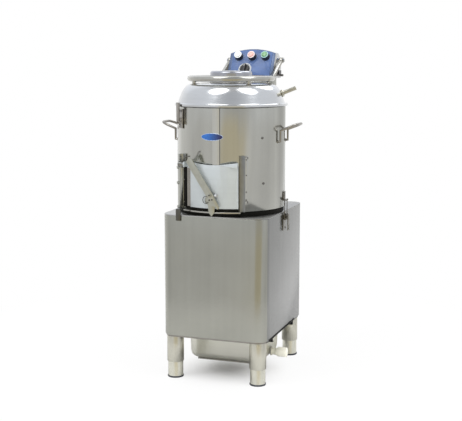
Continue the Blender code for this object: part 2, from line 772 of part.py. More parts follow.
def build_cabinet():
    """Wrap-round shell with a service opening at the back, deck, rear panel with vents, and cable gland."""
    outline = rounded_rectangle(2 * CABINET_HALF_WIDTH, CABINET_DEPTH, CABINET_CORNER, (0, CABINET_MIDDLE))
    inner = rounded_rectangle(
        2 * (CABINET_HALF_WIDTH - CABINET_WALL), CABINET_DEPTH - 2 * CABINET_WALL,
        CABINET_CORNER - CABINET_WALL, (0, CABINET_MIDDLE),
    )
    top = DECK_BOTTOM - SEAT
    shell = extruded(
        "cabinet_shell", (outline, inner), top - LEG_CLEARANCE, (0, 0, (top + LEG_CLEARANCE) / 2)
    )
    panel_bottom = LEG_CLEARANCE + PANEL_MARGIN
    panel_top = DECK_BOTTOM - PANEL_MARGIN
    cut(shell, block(
        "service_opening",
        (PANEL_LAP - PANEL_HALF_WIDTH, CABINET_BACK - CABINET_WALL - OVERRUN, panel_bottom + PANEL_LAP),
        (PANEL_HALF_WIDTH - PANEL_LAP, CABINET_BACK + OVERRUN, panel_top - PANEL_LAP),
    ))
    finished(shell, STEEL, machine)

    holes = (
        circle(NECK_RADIUS + RUNNING),
        circle(DRAIN_RADIUS + RUNNING, DRAIN_PLACE),
    )
    deck = extruded(
        "cabinet_deck", (outline, *holes), DECK_THICKNESS, (0, 0, (CABINET_TOP + DECK_BOTTOM) / 2)
    )
    finished(deck, CAST, machine)

    panel_y = CABINET_BACK + SEAT
    panel = extruded(
        "rear_panel",
        (rounded_rectangle(2 * PANEL_HALF_WIDTH, panel_top - panel_bottom, PANEL_LAP),),
        PANEL_THICKNESS,
        (0, panel_y + PANEL_THICKNESS / 2, (panel_top + panel_bottom) / 2),
        ALONG_Y,
    )
    for vent in range(VENT_COUNT):
        height = panel_top - PANEL_LAP - (vent + 1) * VENT_PITCH
        cut(panel, block(
            "vent",
            (-VENT_WIDTH / 2, panel_y - OVERRUN, height - VENT_HEIGHT / 2),
            (VENT_WIDTH / 2, panel_y + PANEL_THICKNESS + OVERRUN, height + VENT_HEIGHT / 2),
        ))
    finished(panel, STEEL, machine)

    gland = turned("cable_gland", (
        (0, GLAND_REACH), (GLAND_RADIUS / 2, GLAND_REACH),
        (GLAND_RADIUS * GLAND_NOSE_SHARE, GLAND_REACH * (1 - GLAND_NUT_SHARE)),
        (GLAND_RADIUS, GLAND_REACH * GLAND_NUT_SHARE), (GLAND_RADIUS, 0), (0, 0),
    ), 6)
    gland.rotation_euler = (math.radians(-90), 0, 0)
    gland.location = (
        -GLAND_OFFSET_SHARE * CABINET_HALF_WIDTH, CABINET_BACK + SEAT, LEG_CLEARANCE + PANEL_MARGIN / 2
    )
    finished(gland, BLACK_PLASTIC, machine)


def opening_tool(name, radius):
    """What cuts the discharge opening through a wall at this radius."""
    bottom = DRUM_BOTTOM + OPENING_RISE
    return bent_plate(
        name, radius - OVERRUN, radius + OVERRUN, (-OPENING_HALF_ANGLE, OPENING_HALF_ANGLE),
        level(bottom), level(bottom + OPENING_HEIGHT), 10,
    )


def build_drum():
    """Drum shell, floor, abrasive lining and the rubber ring that it stands on."""
    gasket_outer = DRUM_RADIUS - DRUM_GASKET_INSET
    gasket = ring(
        "drum_gasket", gasket_outer, gasket_outer - DRUM_GASKET_WIDTH, CABINET_TOP + SEAT, DRUM_BOTTOM - SEAT
    )
    finished(gasket, RUBBER, machine)

    shell = ring("drum_shell", DRUM_RADIUS, DRUM_BORE, DRUM_BOTTOM, DRUM_TOP)
    cut(shell, opening_tool("shell_opening", DRUM_RADIUS))
    finished(shell, STEEL, machine)

    floor = disc("drum_floor", DRUM_BORE - SEAT, FLOOR_BOTTOM, FLOOR_TOP)
    cut(
        floor,
        rod("neck_hole", (0, 0, FLOOR_BOTTOM - OVERRUN), (0, 0, FLOOR_TOP + OVERRUN), NECK_RADIUS + RUNNING),
        rod("drain_hole", (*DRAIN_PLACE, FLOOR_BOTTOM - OVERRUN), (*DRAIN_PLACE, FLOOR_TOP + OVERRUN),
            DRAIN_RADIUS - DRAIN_WALL),
    )
    finished(floor, DULL_STEEL, machine)

    liner = ring(
        "abrasive_liner", LINER_BORE + LINER_THICKNESS, LINER_BORE, FLOOR_TOP + SEAT, DRUM_TOP - LINER_MARGIN
    )
    cut(liner, opening_tool("liner_opening", LINER_BORE + LINER_THICKNESS / 2))
    finished(liner, ABRASIVE, machine)

    drain = ring("drain_pipe", DRAIN_RADIUS, DRAIN_RADIUS - DRAIN_WALL, TRAY_TOP + DRAIN_END,
                 FLOOR_BOTTOM - SEAT, SMALL_STEPS)
    drain.location = (*DRAIN_PLACE, 0)
    finished(drain, BLACK_PLASTIC, machine)


def wavy_disc(name):
    """The abrasive disc: a turned plate whose upper rings are lifted into waves that toss the potatoes."""
    rings = [(share * DISC_RADIUS, DISC_TOP) for share in DISC_RING_SHARES]
    hub_bottom = NECK_TOP + SEAT
    profile = [(0, DISC_TOP), *rings[::-1]]
    profile += [
        (DISC_RADIUS, DISC_BOTTOM), (HUB_RADIUS, DISC_BOTTOM), (HUB_RADIUS, hub_bottom),
        (SPINDLE_RADIUS + SEAT, hub_bottom), (SPINDLE_RADIUS + SEAT, DISC_BOTTOM + DISC_THICKNESS / 2),
        (0, DISC_BOTTOM + DISC_THICKNESS / 2),
    ]
    made = turned(name, profile, DRUM_STEPS)
    for vert in made.data.vertices:
        radius = math.hypot(vert.co.x, vert.co.y)
        if vert.co.z < DISC_TOP - MERGE or radius < rings[-1][0] / 2:
            continue
        azimuth = math.atan2(vert.co.y, vert.co.x)
        wave = max(0, math.cos(WAVE_COUNT * azimuth)) ** 2
        out = min(radius / DISC_RADIUS, 1) ** 2
        vert.co.z += WAVE_HEIGHT * wave * math.sin(math.pi * out * WAVE_CREST_SHARE)
    return made


def groove_profile(radius, width, web, rim, hub, middle):
    """Half-profile of a belt pulley: rim with its groove, web and hub, as a closed ring."""
    half = width / 2
    groove = (BELT_WIDTH + 2 * RUNNING) / 2
    return (
        (radius, middle + half), (radius, middle + groove + RUNNING),
        (radius - GROOVE_DEPTH, middle + groove), (radius - GROOVE_DEPTH, middle - groove),
        (radius, middle - groove - RUNNING), (radius, middle - half),
        (radius - rim, middle - half), (radius - rim, middle - web / 2),
        (hub + rim, middle - web / 2), (hub + rim, middle - half), (hub, middle - half),
        (hub, middle + half), (hub + rim, middle + half), (hub + rim, middle + web / 2),
        (radius - rim, middle + web / 2), (radius - rim, middle + half),
    )


def belt_outline(large, small, distance):
    """The loop round two circles whose centres lie a distance apart along Y."""
    lean = math.asin((large - small) / distance)
    steps = FINE_STEPS
    outline = arc((0, 0), large, math.pi - lean, 2 * math.pi + lean, steps)
    outline += arc((0, distance), small, lean, math.pi - lean, steps // 2)
    return outline


def build_drive():
    """Spindle with disc and pulley, bearing housing, belt, and the motor with its own pulley."""
    rotor = empty("rotor_axis", (0, 0, BELT_HEIGHT), machine)
    finished(wavy_disc("abrasive_disc"), ABRASIVE, rotor, pivot=True)
    spindle_top = DISC_BOTTOM + DISC_THICKNESS / 2 - SEAT
    spindle = disc("spindle", SPINDLE_RADIUS, PULLEY_BOTTOM - PULLEY_DROP, spindle_top, SMALL_STEPS)
    finished(spindle, POLISHED, rotor, pivot=True)
    bore = SPINDLE_RADIUS + SEAT
    profile = groove_profile(PULLEY_RADIUS, PULLEY_WIDTH, PULLEY_WEB, PULLEY_RIM, bore, BELT_HEIGHT)
    pulley = turned("spindle_pulley", profile, FINE_STEPS, closed=True)
    finished(pulley, CAST, rotor, pivot=True)

    bearing_bore = SPINDLE_RADIUS + RUNNING
    flange_top = DECK_BOTTOM - SEAT
    bearing = turned("bearing_housing", (
        (NECK_RADIUS, NECK_TOP), (NECK_RADIUS, flange_top), (BEARING_FLANGE, flange_top),
        (BEARING_FLANGE, flange_top - BEARING_FLANGE_THICKNESS),
        (BEARING_RADIUS, flange_top - BEARING_FLANGE_THICKNESS), (BEARING_RADIUS, BEARING_BOTTOM),
        (bearing_bore, BEARING_BOTTOM), (bearing_bore, NECK_TOP),
    ), SMALL_STEPS, closed=True)
    finished(bearing, CAST, machine)

    loop = (
        belt_outline(PULLEY_RADIUS - BELT_INSET, MOTOR_PULLEY_RADIUS - BELT_INSET, MOTOR_BACK),
        belt_outline(PULLEY_RADIUS - GROOVE_DEPTH + RUNNING, MOTOR_PULLEY_RADIUS - GROOVE_DEPTH + RUNNING,
                     MOTOR_BACK),
    )
    belt = extruded("drive_belt", loop, BELT_WIDTH, (0, 0, BELT_HEIGHT))
    finished(belt, RUBBER, machine)

    place = Vector((0, MOTOR_BACK, BELT_HEIGHT))
    motor_rotor = empty("motor_rotor_axis", place, machine)
    groove_bottom = MOTOR_PULLEY_RADIUS - GROOVE_DEPTH
    half = PULLEY_WIDTH / 2
    groove = BELT_WIDTH / 2 + RUNNING
    shaft_bottom = MOTOR_TOP - BELT_HEIGHT - MOTOR_FOOT
    motor_pulley = turned("motor_pulley", (
        (0, half), (MOTOR_PULLEY_RADIUS, half), (MOTOR_PULLEY_RADIUS, groove + RUNNING),
        (groove_bottom, groove), (groove_bottom, -groove), (MOTOR_PULLEY_RADIUS, -groove - RUNNING),
        (MOTOR_PULLEY_RADIUS, -half), (MOTOR_SHAFT_RADIUS, -half), (MOTOR_SHAFT_RADIUS, shaft_bottom),
        (0, shaft_bottom),
    ))
    motor_pulley.location = place
    finished(motor_pulley, POLISHED, motor_rotor, pivot=True)

    foot_top = MOTOR_BOTTOM + MOTOR_FOOT
    body_height = MOTOR_TOP - foot_top
    fin_pitch = body_height / (2 * MOTOR_FIN_COUNT + 1)
    profile = [(0, MOTOR_TOP), (MOTOR_RADIUS - MOTOR_FIN, MOTOR_TOP)]
    for fin in range(MOTOR_FIN_COUNT):
        fin_top = MOTOR_TOP - (2 * fin + 1) * fin_pitch
        profile += [
            (MOTOR_RADIUS - MOTOR_FIN, fin_top), (MOTOR_RADIUS, fin_top),
            (MOTOR_RADIUS, fin_top - fin_pitch), (MOTOR_RADIUS - MOTOR_FIN, fin_top - fin_pitch),
        ]
    profile += [(MOTOR_RADIUS - MOTOR_FIN, foot_top), (MOTOR_RADIUS, foot_top)]
    profile += [(MOTOR_RADIUS, MOTOR_BOTTOM), (0, MOTOR_BOTTOM)]
    motor = turned("motor", profile)
    motor.location = (0, MOTOR_BACK, 0)
    shaft_hole = rod(
        "shaft_hole", (0, MOTOR_BACK, MOTOR_TOP - MOTOR_FOOT - RUNNING),
        (0, MOTOR_BACK, MOTOR_TOP + OVERRUN), MOTOR_SHAFT_RADIUS + RUNNING,
    )
    finished(cut(motor, shaft_hole), MOTOR_PAINT, machine)


def jamb_top_height():
    return DRUM_BOTTOM + JAMB_TOP


def build_door_frame():
    """Rubber round the opening, the sill bar, and a jamb on each side. The left jamb carries the hinge."""
    jamb_bottom = DRUM_BOTTOM + SEAT
    top = jamb_top_height()
    face = DRUM_RADIUS + SEAT
    seal = bent_plate(
        "door_seal", face, face + SEAL_THICKNESS, SEAL_ANGLES,
        level(DRUM_BOTTOM + SEAL_BOTTOM_RISE), level(DOOR_TOP - HINGE_DROP - SEAL_TOP_GAP), 16,
    )
    finished(cut(seal, opening_tool("seal_opening", face)), RUBBER, machine)

    sill_top = DRUM_BOTTOM - SEAT
    sill_inner = DRUM_RADIUS - DRUM_GASKET_INSET + RUNNING
    sill = bent_plate(
        "door_sill", sill_inner, DRUM_RADIUS + SILL_REACH, SILL_ANGLES,
        level(sill_top - SILL_THICKNESS), level(sill_top), 16,
    )
    finished(sill, POLISHED, machine)

    outer_edge, step_edge, inner_edge = JAMB_LEFT_ANGLES
    standoff = DRUM_RADIUS + JAMB_LEFT_STANDOFF
    left = bent_plate(
        "door_jamb_left", face, face + JAMB_FLANGE, (outer_edge, inner_edge),
        level(jamb_bottom), level(top), 4,
    )
    bar = bent_plate(
        "jamb_bar", face + JAMB_FLANGE / 2, standoff, (outer_edge + JAMB_BAR_INSET, step_edge),
        level(jamb_bottom + SEAT), level(top - SEAT), 2,
    )
    unite(left, bar)
    for share in JAMB_BOLT_SHARES:
        height = jamb_bottom + share * JAMB_TOP
        middle = (outer_edge + step_edge) / 2
        unite(left, rod(
            "jamb_bolt", round_point(standoff - JAMB_BOLT_HEIGHT, middle, height),
            round_point(standoff + JAMB_BOLT_HEIGHT, middle, height), JAMB_BOLT_RADIUS, 8,
        ))
    barrel_end = -BARREL_START - BARREL_LENGTH
    hinge_y, hinge_z = DOOR_HINGE.y, DOOR_HINGE.z
    ear_back = -math.sqrt((face + JAMB_FLANGE / 2) ** 2 - barrel_end ** 2)
    ear = extruded(
        "jamb_ear",
        (((ear_back, hinge_z - LUG_RADIUS), (ear_back, hinge_z + LUG_RADIUS), *arc(
            (hinge_y, hinge_z), LUG_RADIUS, math.radians(90), math.radians(270), 6)),),
        BARREL_EAR, (barrel_end, 0, 0), ALONG_X,
    )
    barrel = turned("jamb_barrel", (
        (BARREL_RADIUS, BARREL_LENGTH), (BARREL_RADIUS, 0), (HINGE_PIN_RADIUS + RUNNING, 0),
        (HINGE_PIN_RADIUS + RUNNING, BARREL_LENGTH),
    ), closed=True)
    barrel.rotation_euler = (0, math.radians(90), 0)
    barrel.location = (barrel_end, hinge_y, hinge_z)
    hinge_bore = rod(
        "hinge_bore", (-BARREL_START + OVERRUN, hinge_y, hinge_z),
        (barrel_end - BARREL_EAR - OVERRUN, hinge_y, hinge_z), HINGE_PIN_RADIUS + RUNNING, 12,
    )
    unite(left, cut(ear, hinge_bore), barrel)
    clip_front = CABINET_FRONT - RUNNING - CLIP_THICKNESS
    clip_top = DRUM_BOTTOM + CLIP_RISE + CLIP_THICKNESS
    clip_left = -CLIP_LEFT_SHARE * DRUM_RADIUS
    clip_right = -CLIP_RIGHT_SHARE * DRUM_RADIUS
    clip_back = -math.sqrt((face + JAMB_FLANGE) ** 2 - (clip_right - OVERRUN) ** 2)
    shelf = block(
        "clip_shelf", (clip_left, clip_front, clip_top - CLIP_THICKNESS), (clip_right, clip_back, clip_top)
    )
    tongue = block(
        "clip_tongue", (clip_left, clip_front, CABINET_TOP - CLIP_DROP),
        (clip_right, clip_front + CLIP_THICKNESS, clip_top - CLIP_THICKNESS / 2),
    )
    unite(left, unite(shelf, tongue))
    finished(left, POLISHED, machine)

    inner_edge, step_edge, outer_edge = JAMB_RIGHT_ANGLES
    right = bent_plate(
        "door_jamb_right", face, face + JAMB_FLANGE, (inner_edge, outer_edge),
        level(jamb_bottom + JAMB_FLANGE_RISE), level(top - SEAT), 4,
    )
    bar = bent_plate(
        "jamb_bar", face + SEAT, DRUM_RADIUS + JAMB_RIGHT_STANDOFF, (inner_edge, step_edge),
        level(jamb_bottom), level(top), 2,
    )
    finished(unite(right, bar), POLISHED, machine)


def door_top_edge(azimuth):
    """Height of the door plate's upper edge, which dips in the middle."""
    return DOOR_TOP - DOOR_DIP * (1 - (azimuth / DOOR_HALF_ANGLE) ** 2)


def build_door():
    """Curved flap with its lip, ear and hinge pin, and the lever that lifts it."""
    hinge = empty("door_hinge", DOOR_HINGE, machine)
    plate = bent_plate(
        "door_plate", DOOR_INNER, DOOR_OUTER, (-DOOR_HALF_ANGLE, DOOR_HALF_ANGLE), level(DOOR_BOTTOM),
        door_top_edge, 14,
    )
    ear_plate = bent_plate(
        "door_ear", DOOR_INNER + SEAT, DOOR_OUTER + SEAT,
        (DOOR_EAR_ANGLE, -DOOR_HALF_ANGLE * DOOR_EAR_ROOT_SHARE),
        level(DOOR_TOP - DOOR_EAR_HEIGHT), level(DOOR_TOP - SEAT), 2,
    )
    lug_right = -BARREL_START + LUG_THICKNESS + SEAT
    lug_middle = -BARREL_START + SEAT + LUG_THICKNESS / 2
    hinge_y, hinge_z = DOOR_HINGE.y, DOOR_HINGE.z
    lug_back = -math.sqrt((DOOR_INNER + DOOR_THICKNESS / 2) ** 2 - lug_middle ** 2)
    lug = extruded(
        "door_lug",
        (((lug_back, hinge_z - LUG_RADIUS), (lug_back, hinge_z + LUG_RADIUS * LUG_SHOULDER_SHARE), *arc(
            (hinge_y, hinge_z), LUG_RADIUS, math.radians(90), math.radians(270), 6)),),
        LUG_THICKNESS, (lug_middle, 0, 0), ALONG_X,
    )
    pin = rod(
        "door_pin", (lug_right - RUNNING, hinge_y, hinge_z),
        (-BARREL_START - BARREL_LENGTH - BARREL_EAR, hinge_y, hinge_z), HINGE_PIN_RADIUS, 12,
    )
    unite(plate, ear_plate, unite(lug, pin))
    unite(plate, door_lip())
    finished(plate, POLISHED, hinge, pivot=True)
    finished(door_lever(), POLISHED, hinge, pivot=True)


def door_lip():
    """The straight wedge that leaves the curved plate tangentially at its upper right corner."""
    start_azimuth = math.asin(LIP_START / DOOR_OUTER)
    start = round_point(DOOR_OUTER - LIP_THICKNESS / 2, start_azimuth, 0)
    along = Vector((math.cos(start_azimuth), math.sin(start_azimuth), 0))
    length = (LIP_END - LIP_START) / math.cos(start_azimuth)
    low = DOOR_TOP - LIP_HEIGHT
    high = DOOR_TOP - SEAT
    shallow = DOOR_TOP - LIP_HEIGHT * LIP_NECK_SHARE
    made = extruded(
        "door_lip", (((0, shallow), (length, low), (length, high), (0, high - DOOR_DIP * LIP_DIP_SHARE)),),
        LIP_THICKNESS,
    )
    made.rotation_euler = (math.radians(90), 0, math.atan2(along.y, along.x))
    made.location = (start.x, start.y, 0)
    end_x = LIP_END - LIP_THICKNESS
    corner = -math.sqrt(DOOR_OUTER ** 2 - end_x ** 2) + DOOR_THICKNESS / 2
    web = block(
        "lip_end", (end_x - LIP_THICKNESS, start.y + length * along.y - LIP_THICKNESS / 4, low + SEAT),
        (end_x, corner, high - SEAT),
    )
    return unite(made, web)


def door_lever():
    """Flat bar from the hand end to its tip, with boss, bolt and the tongue that reaches over the sill."""
    def at(share, rise):
        return Vector((share * DRUM_RADIUS, DRUM_BOTTOM + rise))

    top = at(LEVER_TOP_SHARE, LEVER_TOP_RISE)
    bolt = at(LEVER_BOLT_SHARE, LEVER_BOLT_RISE)
    tip = at(LEVER_TIP_SHARE, LEVER_TIP_RISE)
    down = (bolt - top).normalized()
    beyond = (tip - bolt).normalized()
    outline = ribbon(
        (top, top + down * LEVER_ROUNDING, bolt, tip - beyond * LEVER_ROUNDING / 2, tip),
        (LEVER_WIDTH / 2, LEVER_WIDTH, LEVER_WIDTH, LEVER_TIP_WIDTH, LEVER_TIP_WIDTH / 2),
    )
    bar_middle = -(LEVER_BACK + LEVER_THICKNESS / 2)
    bar = extruded("door_lever", (outline,), LEVER_THICKNESS, (0, bar_middle, 0), ALONG_Y)
    boss = at(BOSS_SHARE, BOSS_RISE)
    tongue_top = DOOR_BOTTOM + TONGUE_SHOULDER
    tongue_low = DRUM_BOTTOM - SILL_THICKNESS / 2
    half = TONGUE_WIDTH / 2
    waist = half * TONGUE_WAIST_SHARE
    tongue = extruded("lever_tongue", ((
        (-half, boss.y), (-half, tongue_top), (-waist, tongue_low), (0, tongue_low - TONGUE_DROP),
        (waist, tongue_low), (half, tongue_top), (half, boss.y),
    ),), TONGUE_THICKNESS, (0, -(LEVER_BACK - TONGUE_THICKNESS / 2 + SEAT), 0), ALONG_Y)
    boss_piece = rod(
        "lever_boss", (boss.x, -(DOOR_OUTER + SEAT), boss.y), (boss.x, -(LEVER_BACK + SEAT), boss.y),
        BOSS_RADIUS, 20,
    )
    head = rod(
        "lever_bolt", (bolt.x, -LEVER_BACK, bolt.y), (bolt.x, -BOLT_FRONT, bolt.y), BOLT_RADIUS, 6
    )
    stem = rod(
        "lever_stem", (bolt.x, -(DOOR_OUTER + SEAT), bolt.y), (bolt.x, -(LEVER_BACK + SEAT), bolt.y),
        BOLT_RADIUS * STEM_SHARE, 12,
    )
    return unite(bar, unite(boss_piece, tongue), head, stem)


def build_drum_handles():
    """A bent rod on each side: short feet on the drum, straight legs, and a loop that leans outwards."""
    foot_x = math.sqrt(DRUM_RADIUS ** 2 - (HANDLE_HALF_WIDTH - HANDLE_RADIUS) ** 2) + SEAT
    leg_x = foot_x + HANDLE_STANDOFF
    foot_z = DRUM_TOP - HANDLE_FOOT
    bend_z = foot_z + HANDLE_STRAIGHT
    rise = HANDLE_REACH * math.tan(HANDLE_SLOPE)
    half, corner = HANDLE_HALF_WIDTH, HANDLE_CORNER
    for name, side in (("left", -1), ("right", 1)):
        loop = arc((HANDLE_REACH - corner, half - corner), corner, math.radians(90), 0, 4)
        loop += [(across, -along) for across, along in reversed(loop)]
        points = [(foot_x, half, foot_z), (leg_x, half, foot_z + RUNNING), (leg_x, half, bend_z)]
        points += [(leg_x + x, y, bend_z + rise * x / HANDLE_REACH) for x, y in loop]
        points += [(leg_x, -half, bend_z), (leg_x, -half, foot_z + RUNNING), (foot_x, -half, foot_z)]
        handle = bent_rod(f"drum_handle_{name}", [(side * x, y, z) for x, y, z in points], HANDLE_RADIUS)
        finished(handle, POLISHED, machine)


def build_toggles():
    """An over-centre latch on each side that holds the drum down on the cabinet."""
    for name, side in (("left", -1), ("right", 1)):
        toggle = {"offset": side * TOGGLE_BACK, "azimuth": side * math.radians(90)}
        finished(toggle_keeper(f"toggle_keeper_{name}", **toggle), POLISHED, machine)
        finished(toggle_base(f"toggle_base_{name}", **toggle), POLISHED, machine)
        axis = Vector((toggle["offset"], -TOGGLE_AXIS_REACH, TOGGLE_AXIS_HEIGHT))
        bail_axis = Vector((toggle["offset"], -BAIL_REACH, BAIL_LOW))
        turn = Matrix.Rotation(toggle["azimuth"], 3, "Z")
        lever_pivot = empty(f"toggle_lever_{name}_axis", turn @ axis, machine)
        bail_pivot = empty(f"toggle_bail_{name}_axis", turn @ bail_axis, machine)
        finished(toggle_lever(f"toggle_lever_{name}", **toggle), POLISHED, lever_pivot, pivot=True)
        finished(toggle_bail(f"toggle_bail_{name}", **toggle), POLISHED, bail_pivot, pivot=True)


def toggle_keeper(name, offset, azimuth):
    """Plate on the drum with a hook, open upwards, for the bail's top bar."""
    back = -(DRUM_RADIUS + SEAT)
    half, hook_half = KEEPER_HALF_WIDTH, KEEPER_HOOK_HALF_WIDTH
    ledge_top = BAIL_TOP - BAIL_RADIUS - KEEPER_PLAY / 2
    ledge_bottom = ledge_top - KEEPER_THICKNESS
    lip_back = -(BAIL_REACH + BAIL_RADIUS + KEEPER_PLAY)
    plate = block(
        name, (offset - half, back - KEEPER_THICKNESS, ledge_bottom - SEAT),
        (offset + half, back, ledge_bottom + KEEPER_HEIGHT),
    )
    ledge = block(
        "keeper_ledge", (offset - hook_half, lip_back - KEEPER_THICKNESS, ledge_bottom),
        (offset + hook_half, back - SEAT, ledge_top),
    )
    lip = block(
        "keeper_lip", (offset - hook_half + SEAT, lip_back - KEEPER_THICKNESS + SEAT, ledge_top - SEAT),
        (offset + hook_half - SEAT, lip_back, BAIL_TOP + BAIL_RADIUS),
    )
    return carried_round(unite(plate, unite(ledge, lip)), azimuth)


def toggle_base(name, offset, azimuth):
    """Plate on the cabinet's side with two ears, between the lever's cheeks, that hold the lever's pin."""
    back = -(CABINET_HALF_WIDTH + SEAT)
    half = TOGGLE_HALF_WIDTH
    top = CABINET_TOP - TOGGLE_TOP
    plate = block(
        name, (offset - half, back - TOGGLE_PLATE, top - TOGGLE_HEIGHT), (offset + half, back, top)
    )
    axis_y, axis_z = -TOGGLE_AXIS_REACH, TOGGLE_AXIS_HEIGHT
    root = back - SEAT
    outline = [(root, axis_z + TOGGLE_EAR_RADIUS)]
    outline += arc((axis_y, axis_z), TOGGLE_EAR_RADIUS, math.radians(90), math.radians(270), CORNER_STEPS)
    outline.append((root, axis_z - TOGGLE_EAR_ROOT))
    ear_middle = LEVER_HALF_WIDTH - CHEEK_THICKNESS - RUNNING - TOGGLE_EAR / 2 - SEAT
    for side in (-1, 1):
        unite(plate, extruded(
            "toggle_ear", (outline,), TOGGLE_EAR, (offset + side * ear_middle, 0, 0), ALONG_X
        ))
    pin_hole = rod(
        "pin_hole", (offset - half, axis_y, axis_z), (offset + half, axis_y, axis_z),
        TOGGLE_PIN_RADIUS + RUNNING, 12,
    )
    return carried_round(cut(plate, pin_hole), azimuth)


def toggle_lever(name, offset, azimuth):
    """Channel-shaped lever: face with a forked end, two cheeks, and the pin that turns in the ears."""
    half = LEVER_HALF_WIDTH
    axis_y, axis_z = -TOGGLE_AXIS_REACH, TOGGLE_AXIS_HEIGHT
    face_back = axis_y - LEVER_FACE_GAP
    face = block(
        name, (offset - half, face_back - CHEEK_THICKNESS, axis_z - TOGGLE_LEVER_LENGTH),
        (offset + half, face_back, axis_z + CHEEK_RADIUS - SEAT),
    )
    cut(face, block(
        "fork", (offset - FORK_WIDTH / 2, face_back - OVERRUN, axis_z - TOGGLE_LEVER_LENGTH - OVERRUN),
        (offset + FORK_WIDTH / 2, face_back + OVERRUN, axis_z - TOGGLE_LEVER_LENGTH + FORK_DEPTH),
    ))
    outline = capsule((axis_y, axis_z), (-BAIL_REACH, BAIL_LOW), CHEEK_RADIUS)
    cheek_middle = half - CHEEK_THICKNESS / 2 - SEAT
    for side in (-1, 1):
        unite(face, extruded(
            "cheek", (outline,), CHEEK_THICKNESS, (offset + side * cheek_middle, 0, 0), ALONG_X
        ))
    unite(face, rod(
        "toggle_pin", (offset - cheek_middle, axis_y, axis_z), (offset + cheek_middle, axis_y, axis_z),
        TOGGLE_PIN_RADIUS, 10,
    ))
    bail_hole = rod(
        "bail_hole", (offset - half - OVERRUN, -BAIL_REACH, BAIL_LOW),
        (offset + half + OVERRUN, -BAIL_REACH, BAIL_LOW), BAIL_RADIUS + RUNNING, 12,
    )
    return carried_round(cut(face, bail_hole), azimuth)


def toggle_bail(name, offset, azimuth):
    """Wire loop whose ends turn in the lever's cheeks and whose top bar lies in the keeper."""
    inner = LEVER_HALF_WIDTH - CHEEK_THICKNESS
    points = [
        (-inner, BAIL_LOW), (-BAIL_HALF_WIDTH, BAIL_LOW), (-BAIL_HALF_WIDTH, BAIL_TOP),
        (BAIL_HALF_WIDTH, BAIL_TOP), (BAIL_HALF_WIDTH, BAIL_LOW), (inner, BAIL_LOW),
    ]
    made = bent_rod(name, [(offset + x, -BAIL_REACH, z) for x, z in points], BAIL_RADIUS)
    return carried_round(made, azimuth)


def dome_point(share):
    return (share[0] * DRUM_RADIUS, DRUM_TOP + share[1] * LID_RISE)


def dome_height(radius):
    """Height of the lid's outer surface at a radius."""
    points = [dome_point(share) for share in LID_DOME_SHARES]
    for (inner, high), (outer, low) in zip(points, points[1:]):
        if radius <= outer:
            return high + (low - high) * (radius - inner) / (outer - inner)
    return points[-1][1]


def build_lid():
    """Domed lid with its seal, cap, inlet and frame."""
    hinge = empty("lid_hinge", LID_HINGE, machine)
    brim = DRUM_RADIUS + BRIM_OVERHANG
    brim_top = DRUM_TOP + SEAT + BRIM_HEIGHT
    profile = [dome_point(share) for share in LID_DOME_SHARES]
    profile += [
        (DRUM_RADIUS - BRIM_BEND / 2, brim_top), (brim - BRIM_BEND, brim_top), (brim, brim_top - BRIM_BEND),
        (brim, DRUM_TOP + SEAT),
    ]
    lid = turned("lid_shell", profile, DRUM_STEPS, wall=LID_WALL)
    inlet_place, outward = inlet_seat()
    cut(lid, rod(
        "inlet_hole", inlet_place - outward * (OVERRUN + INLET_BORE), inlet_place + outward * OVERRUN,
        INLET_BORE, 12,
    ))
    finished(lid, POLISHED, hinge, pivot=True)

    seal_inner = DRUM_RADIUS - LID_SEAL_WIDTH / 2
    seal = ring(
        "lid_seal", seal_inner + LID_SEAL_WIDTH, seal_inner, DRUM_TOP + SEAT, brim_top - LID_WALL - RUNNING
    )
    finished(seal, RUBBER, hinge, pivot=True)

    top = LID_TOP + SEAT + CAP_HEIGHT
    profile = [(0, top)]
    profile += [
        (CAP_RADIUS - CAP_ROUNDING + across, top - CAP_ROUNDING + up)
        for across, up in arc((0, 0), CAP_ROUNDING, math.radians(90), 0, 3)
    ]
    profile.append((CAP_RADIUS, LID_TOP + SEAT))
    cap = turned("lid_cap", profile, 32, wall=LID_WALL)
    finished(cap, POLISHED, hinge, pivot=True)

    finished(lid_frame(), POLISHED, hinge, pivot=True)

    inlet = turned("water_inlet", (
        (INLET_COLLAR_RADIUS, INLET_COLLAR_LENGTH * INLET_CHAMFER_SHARE), (INLET_COLLAR_RADIUS, 0),
        (INLET_BORE, 0), (INLET_BORE, INLET_LENGTH), (INLET_RADIUS, INLET_LENGTH),
        (INLET_RADIUS, INLET_COLLAR_LENGTH),
    ), closed=True)
    inlet.location = inlet_place + outward * SEAT
    inlet.rotation_euler = outward.to_track_quat("Z", "Y").to_euler()
    finished(inlet, POLISHED, hinge, pivot=True)


def lid_hinge_pin(side):
    """The stud on the housing's side that an arm's eye turns on."""
    root = COLUMN_HALF_WIDTH - HOUSING_WALL / 2
    eye_inner = ARM_OFFSET - EYE_WIDTH / 2
    eye_outer = ARM_OFFSET + EYE_WIDTH / 2 + RUNNING
    head = EYE_RADIUS * LID_PIN_HEAD_SHARE
    pin = turned("lid_hinge_pin", (
        (0, eye_outer + LID_PIN_HEAD), (head, eye_outer + LID_PIN_HEAD), (head, eye_outer),
        (LID_PIN_RADIUS, eye_outer), (LID_PIN_RADIUS, eye_inner - RUNNING),
        (EYE_RADIUS, eye_inner - RUNNING), (EYE_RADIUS, root), (0, root),
    ))
    pin.rotation_euler = (0, side * math.radians(90), 0)
    pin.location = LID_HINGE
    return pin


